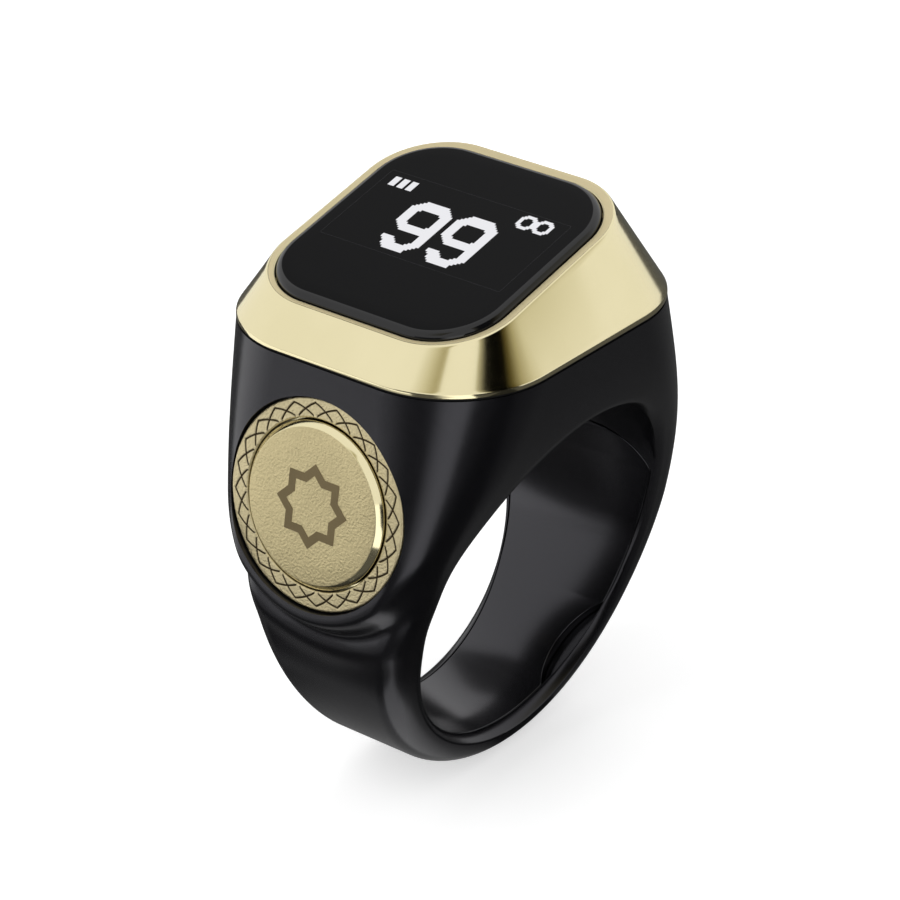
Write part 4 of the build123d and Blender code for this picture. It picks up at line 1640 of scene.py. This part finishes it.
@dataclass
class Studio:
    """White floor and surround, soft lamps, the cards that reflections see, and the camera."""

    world_light: float = 0.45
    floor_z: float = -11.82
    floor_r: float = 1200.0
    floor_sides: int = 96
    floor_grey: float = 0.92
    floor_rough: float = 0.9
    floor_glow: float = 0.55
    card_lift: float = 0.03
    upright_h: float = 50.0
    card_warmth: float = 0.6
    ring_middle: Triple = (0.0, 0.0, 5.0)
    head_middle: Triple = (0.0, 0.0, 17.0)

    # Camera: where it stands round the ring, how far off, and how far the frame is shifted right and up
    azimuth_deg: float = -51.61
    elevation_deg: float = 27.9
    distance: float = 197.8
    frame_shift: Pair = (-0.861, 5.020)
    lens_mm: float = 144.0
    sensor_mm: float = 36.0

    def build_world(self) -> None:
        """White to the camera, to reflections and through glass; dimmer as a light on the object."""
        world = bpy.data.worlds.new("studio_world")
        bpy.context.scene.world = world
        world.use_nodes = True
        shade = world.node_tree.nodes["Background"]
        shade.inputs["Color"].default_value = (1.0, 1.0, 1.0, 1.0)
        strength = seen_strength(world.node_tree, self.world_light, 1.0)
        world.node_tree.links.new(strength, shade.inputs["Strength"])

    def build_floor(self) -> None:
        """A wide round floor under the ring, pale and self-lit to white for what looks at it."""
        phi = full_turn(self.floor_sides)
        across, along = self.floor_r * np.cos(phi), self.floor_r * np.sin(phi)
        points = np.stack([across, along, np.full(len(phi), self.floor_z)], -1) * MM
        mesh = bpy.data.meshes.new("studio_floor")
        mesh.from_pydata(points.tolist(), [], [list(range(len(phi)))])
        floor = add_object("studio_floor", mesh)
        pen = NodeSketch("studio_floor_white")
        pen.set("Base Color", (self.floor_grey, self.floor_grey, self.floor_grey, 1.0))
        pen.set("Roughness", self.floor_rough)
        pen.set("Specular IOR Level", 0.0)
        pen.set("Emission Color", (1.0, 1.0, 1.0, 1.0))
        pen.join(seen_strength(pen.tree, 0.0, self.floor_glow), pen.shader.inputs["Emission Strength"])
        mesh.materials.append(pen.material)

    def card(self, name: str, corners: Array, stops: Stops, warmth: float = 0.0) -> None:
        """One plain card that only reflections see, as a photographer hangs beside a glossy piece.

        Args:
            name: Its name.
            corners: Its corners in millimetres: two on the side where its shading ends, between two on the
                side where it starts.
            stops: Places from its starting side to its ending side, and how light it is there.
            warmth: How far it yellows as it darkens.
        """
        mesh = bpy.data.meshes.new(name)
        mesh.from_pydata((corners * MM).tolist(), [], [[0, 1, 2, 3]])
        across = mesh.attributes.new("across", "FLOAT", "POINT")
        across.data.foreach_set("value", np.array([0.0, 1.0, 1.0, 0.0], np.float32))
        mesh.materials.append(GradedCard(name, stops, warmth).make())
        card = add_object(name, mesh)
        card.visible_camera = False
        card.visible_diffuse = False
        card.visible_shadow = False
        card.visible_transmission = False

    def hung(self, place: Triple, aim: Triple, size: Pair) -> Array:
        """Corners of a hung card: its middle plus and minus half its sizes along its own axes.

        Args:
            place: Its middle.
            aim: What it faces.
            size: Its width and height.

        Returns:
            Corners, starting on the right as the ring sees it.
        """
        turn = facing(place, aim)
        u = np.array([0.5, -0.5, -0.5, 0.5])[:, None] * size[0]
        v = np.array([-0.5, -0.5, 0.5, 0.5])[:, None] * size[1]
        return np.array(place) + u * turn[:, 0] + v * turn[:, 1]

    def laid(self, x: Pair, y: Pair, along_x: bool = False) -> Array:
        """Corners of a card on the floor.

        Args:
            x: Where it starts and ends along X.
            y: The same along Y.
            along_x: Shade it along X, not along Y.

        Returns:
            Corners.
        """
        corners = [(x[0], y[0]), (x[0], y[1]), (x[1], y[1]), (x[1], y[0])]
        if along_x:
            corners = [corners[k] for k in (0, 3, 2, 1)]
        return np.array([(*corner, self.floor_z + self.card_lift) for corner in corners])

    def stood(self, a: Pair, b: Pair) -> Array:
        """Corners of a card that stands on the floor from a to b.

        Args:
            a: Where it starts.
            b: Where it ends.

        Returns:
            Corners.
        """
        low, high = self.floor_z, self.floor_z + self.upright_h
        return np.array([(*a, low), (*b, low), (*b, high), (*a, high)])

    def build_cards(self) -> None:
        """Dark and graded cards round the ring, a light strip among them, and three cards for the head.

        A card's stops are shares of the way across it and how light it is there.
        """
        black = ((0.0, 0.02), (1.0, 0.02))
        dark = ((0.0, 0.10), (1.0, 0.10))
        light = ((0.0, 0.10), (0.45, 1.5), (1.0, 1.5))
        self.card("floor_card_right", self.laid((5.0, 320.0), (-220.0, 240.0)), dark)
        self.card(
            "floor_card_near", self.laid((-64.0, -13.5), (-3.0, 30.0), True),
            ((0.0, 1.0), (0.24, 0.50), (0.47, 0.36), (0.67, 0.32), (0.77, 0.06), (0.94, 0.05), (1.0, 0.30)),
        )
        self.card(
            "floor_card_rear", self.laid((-13.5, 5.0), (-3.0, 240.0)),
            ((0.0, 0.30), (0.03, 0.22), (0.05, 0.08), (1.0, 0.08)),
        )
        self.card("floor_card_front", self.laid((-17.0, 5.0), (-220.0, -9.0)), black)
        self.card(
            "floor_card_toe", self.laid((-9.0, 5.0), (-9.0, -3.0), True),
            ((0.0, 1.0), (0.35, 0.25), (0.6, 0.02), (1.0, 0.02)),
        )
        self.card(
            "floor_card_front_left", self.laid((-320.0, -17.0), (-220.0, -3.0)), ((0.0, 0.07), (1.0, 0.10))
        )
        self.card(
            "floor_card_left", self.laid((-320.0, -95.0), (-3.0, 160.0)),
            ((0.0, 0.12), (0.33, 0.32), (0.45, 0.50), (0.57, 0.80), (1.0, 0.85)),
        )
        strip_near, strip_left = (-17.0, -28.0), (-58.0, -24.0)
        strip_far, strip_right = (-170.0, -70.0), (-80.0, -118.0)
        lift = self.floor_z + 2.0 * self.card_lift
        strip = np.array([(*p, lift) for p in (strip_left, strip_near, strip_right, strip_far)])
        self.card("floor_strip", strip, light)
        self.card("upright_strip", self.stood(strip_far, strip_right), light)
        self.card(
            "upright_left", self.stood((-230.0, 60.0), strip_far), ((0.0, 0.35), (0.5, 0.07), (1.0, 0.07))
        )
        self.card("upright_right", self.stood(strip_right, (30.0, -150.0)), black)
        self.card("upright_rear", self.stood((100.0, 190.0), (225.0, 15.0)), black)
        self.card(
            "glass_card", self.hung((120.0, 165.0, 235.0), self.head_middle, (140.0, 140.0)),
            ((0.0, 1.0), (0.16, 0.13), (0.84, 0.20), (1.0, 1.0)),
        )
        front_stops = (
            (0.0, 0.97), (0.19, 0.88), (0.385, 0.72), (0.55, 0.45), (0.66, 0.12), (0.73, 0.0), (0.92, 0.0),
            (1.0, 0.6),
        )
        front_corners = self.hung((50.0, -112.0, 85.0), (50.0, -5.0, 17.0), (200.0, 110.0))
        self.card("bezel_card_front", front_corners, front_stops, self.card_warmth)
        left_corners = self.hung((-160.0, -17.0, 190.0), self.head_middle, (95.0, 120.0))
        left_stops = ((0.0, 0.9), (0.10, 0.50), (0.22, 0.47), (0.55, 0.72), (1.0, 1.0))
        self.card("bezel_card_left", left_corners, left_stops, self.card_warmth)

    def lamp(self, name: str, place: Triple, size: Pair, power: float) -> None:
        """One soft rectangular lamp that points at the ring and that mirrors don't show.

        Args:
            name: Its name.
            place: Where it stands, in millimetres.
            size: Its width and height.
            power: Its power in watts.
        """
        light = bpy.data.lights.new(name, "AREA")
        light.shape = "RECTANGLE"
        light.size, light.size_y = size[0] * MM, size[1] * MM
        light.energy = power
        lamp = add_object(name, light)
        lamp.matrix_world = placing(facing(place, self.ring_middle), np.array(place))
        lamp.visible_glossy = False

    def build_lamps(self) -> None:
        """A key over the left shoulder, a strip in front and one behind on the right."""
        self.lamp("key_softbox", (-190.0, 60.0, 200.0), (260.0, 260.0), 0.26)
        self.lamp("front_strip", (-150.0, -230.0, 40.0), (90.0, 90.0), 0.06)
        self.lamp("rear_strip", (190.0, 90.0, 120.0), (110.0, 180.0), 0.12)

    def build_camera(self) -> None:
        """The photograph's view: round to the button side and from above, through a long lens."""
        azimuth, elevation = math.radians(self.azimuth_deg), math.radians(self.elevation_deg)
        level = math.cos(elevation)
        back = np.array([math.sin(azimuth) * level, -math.cos(azimuth) * level, math.sin(elevation)])
        right = np.array([math.cos(azimuth), math.sin(azimuth), 0.0])
        up = np.cross(back, right)
        lens = bpy.data.cameras.new("studio_camera")
        lens.lens = self.lens_mm
        lens.sensor_width = self.sensor_mm
        lens.clip_start, lens.clip_end = 0.01, 10.0
        camera = add_object("studio_camera", lens)
        place = self.frame_shift[0] * right + self.frame_shift[1] * up + self.distance * back
        camera.matrix_world = placing(np.stack([right, up, back], axis=1), place)
        bpy.context.scene.camera = camera

    def build(self) -> None:
        """Sets the stage."""
        bpy.context.scene.view_settings.view_transform = "Standard"
        self.build_world()
        self.build_floor()
        self.build_lamps()
        self.build_cards()
        self.build_camera()


def main() -> None:
    """Builds every sub-assembly round the CAD frame."""
    logging.basicConfig(level=logging.INFO, format="%(message)s")
    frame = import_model()
    Studio().build()
    shell = RingBody()
    shell.build()
    SizingLiner().build(shell)
    Bezel().build()
    CoverGlass().build()
    TrimRing().build()
    ThumbButton().build()
    ChargePads().build()
    InnerPieces().dress(frame["nodes"])


if __name__ == "__main__":
    main()
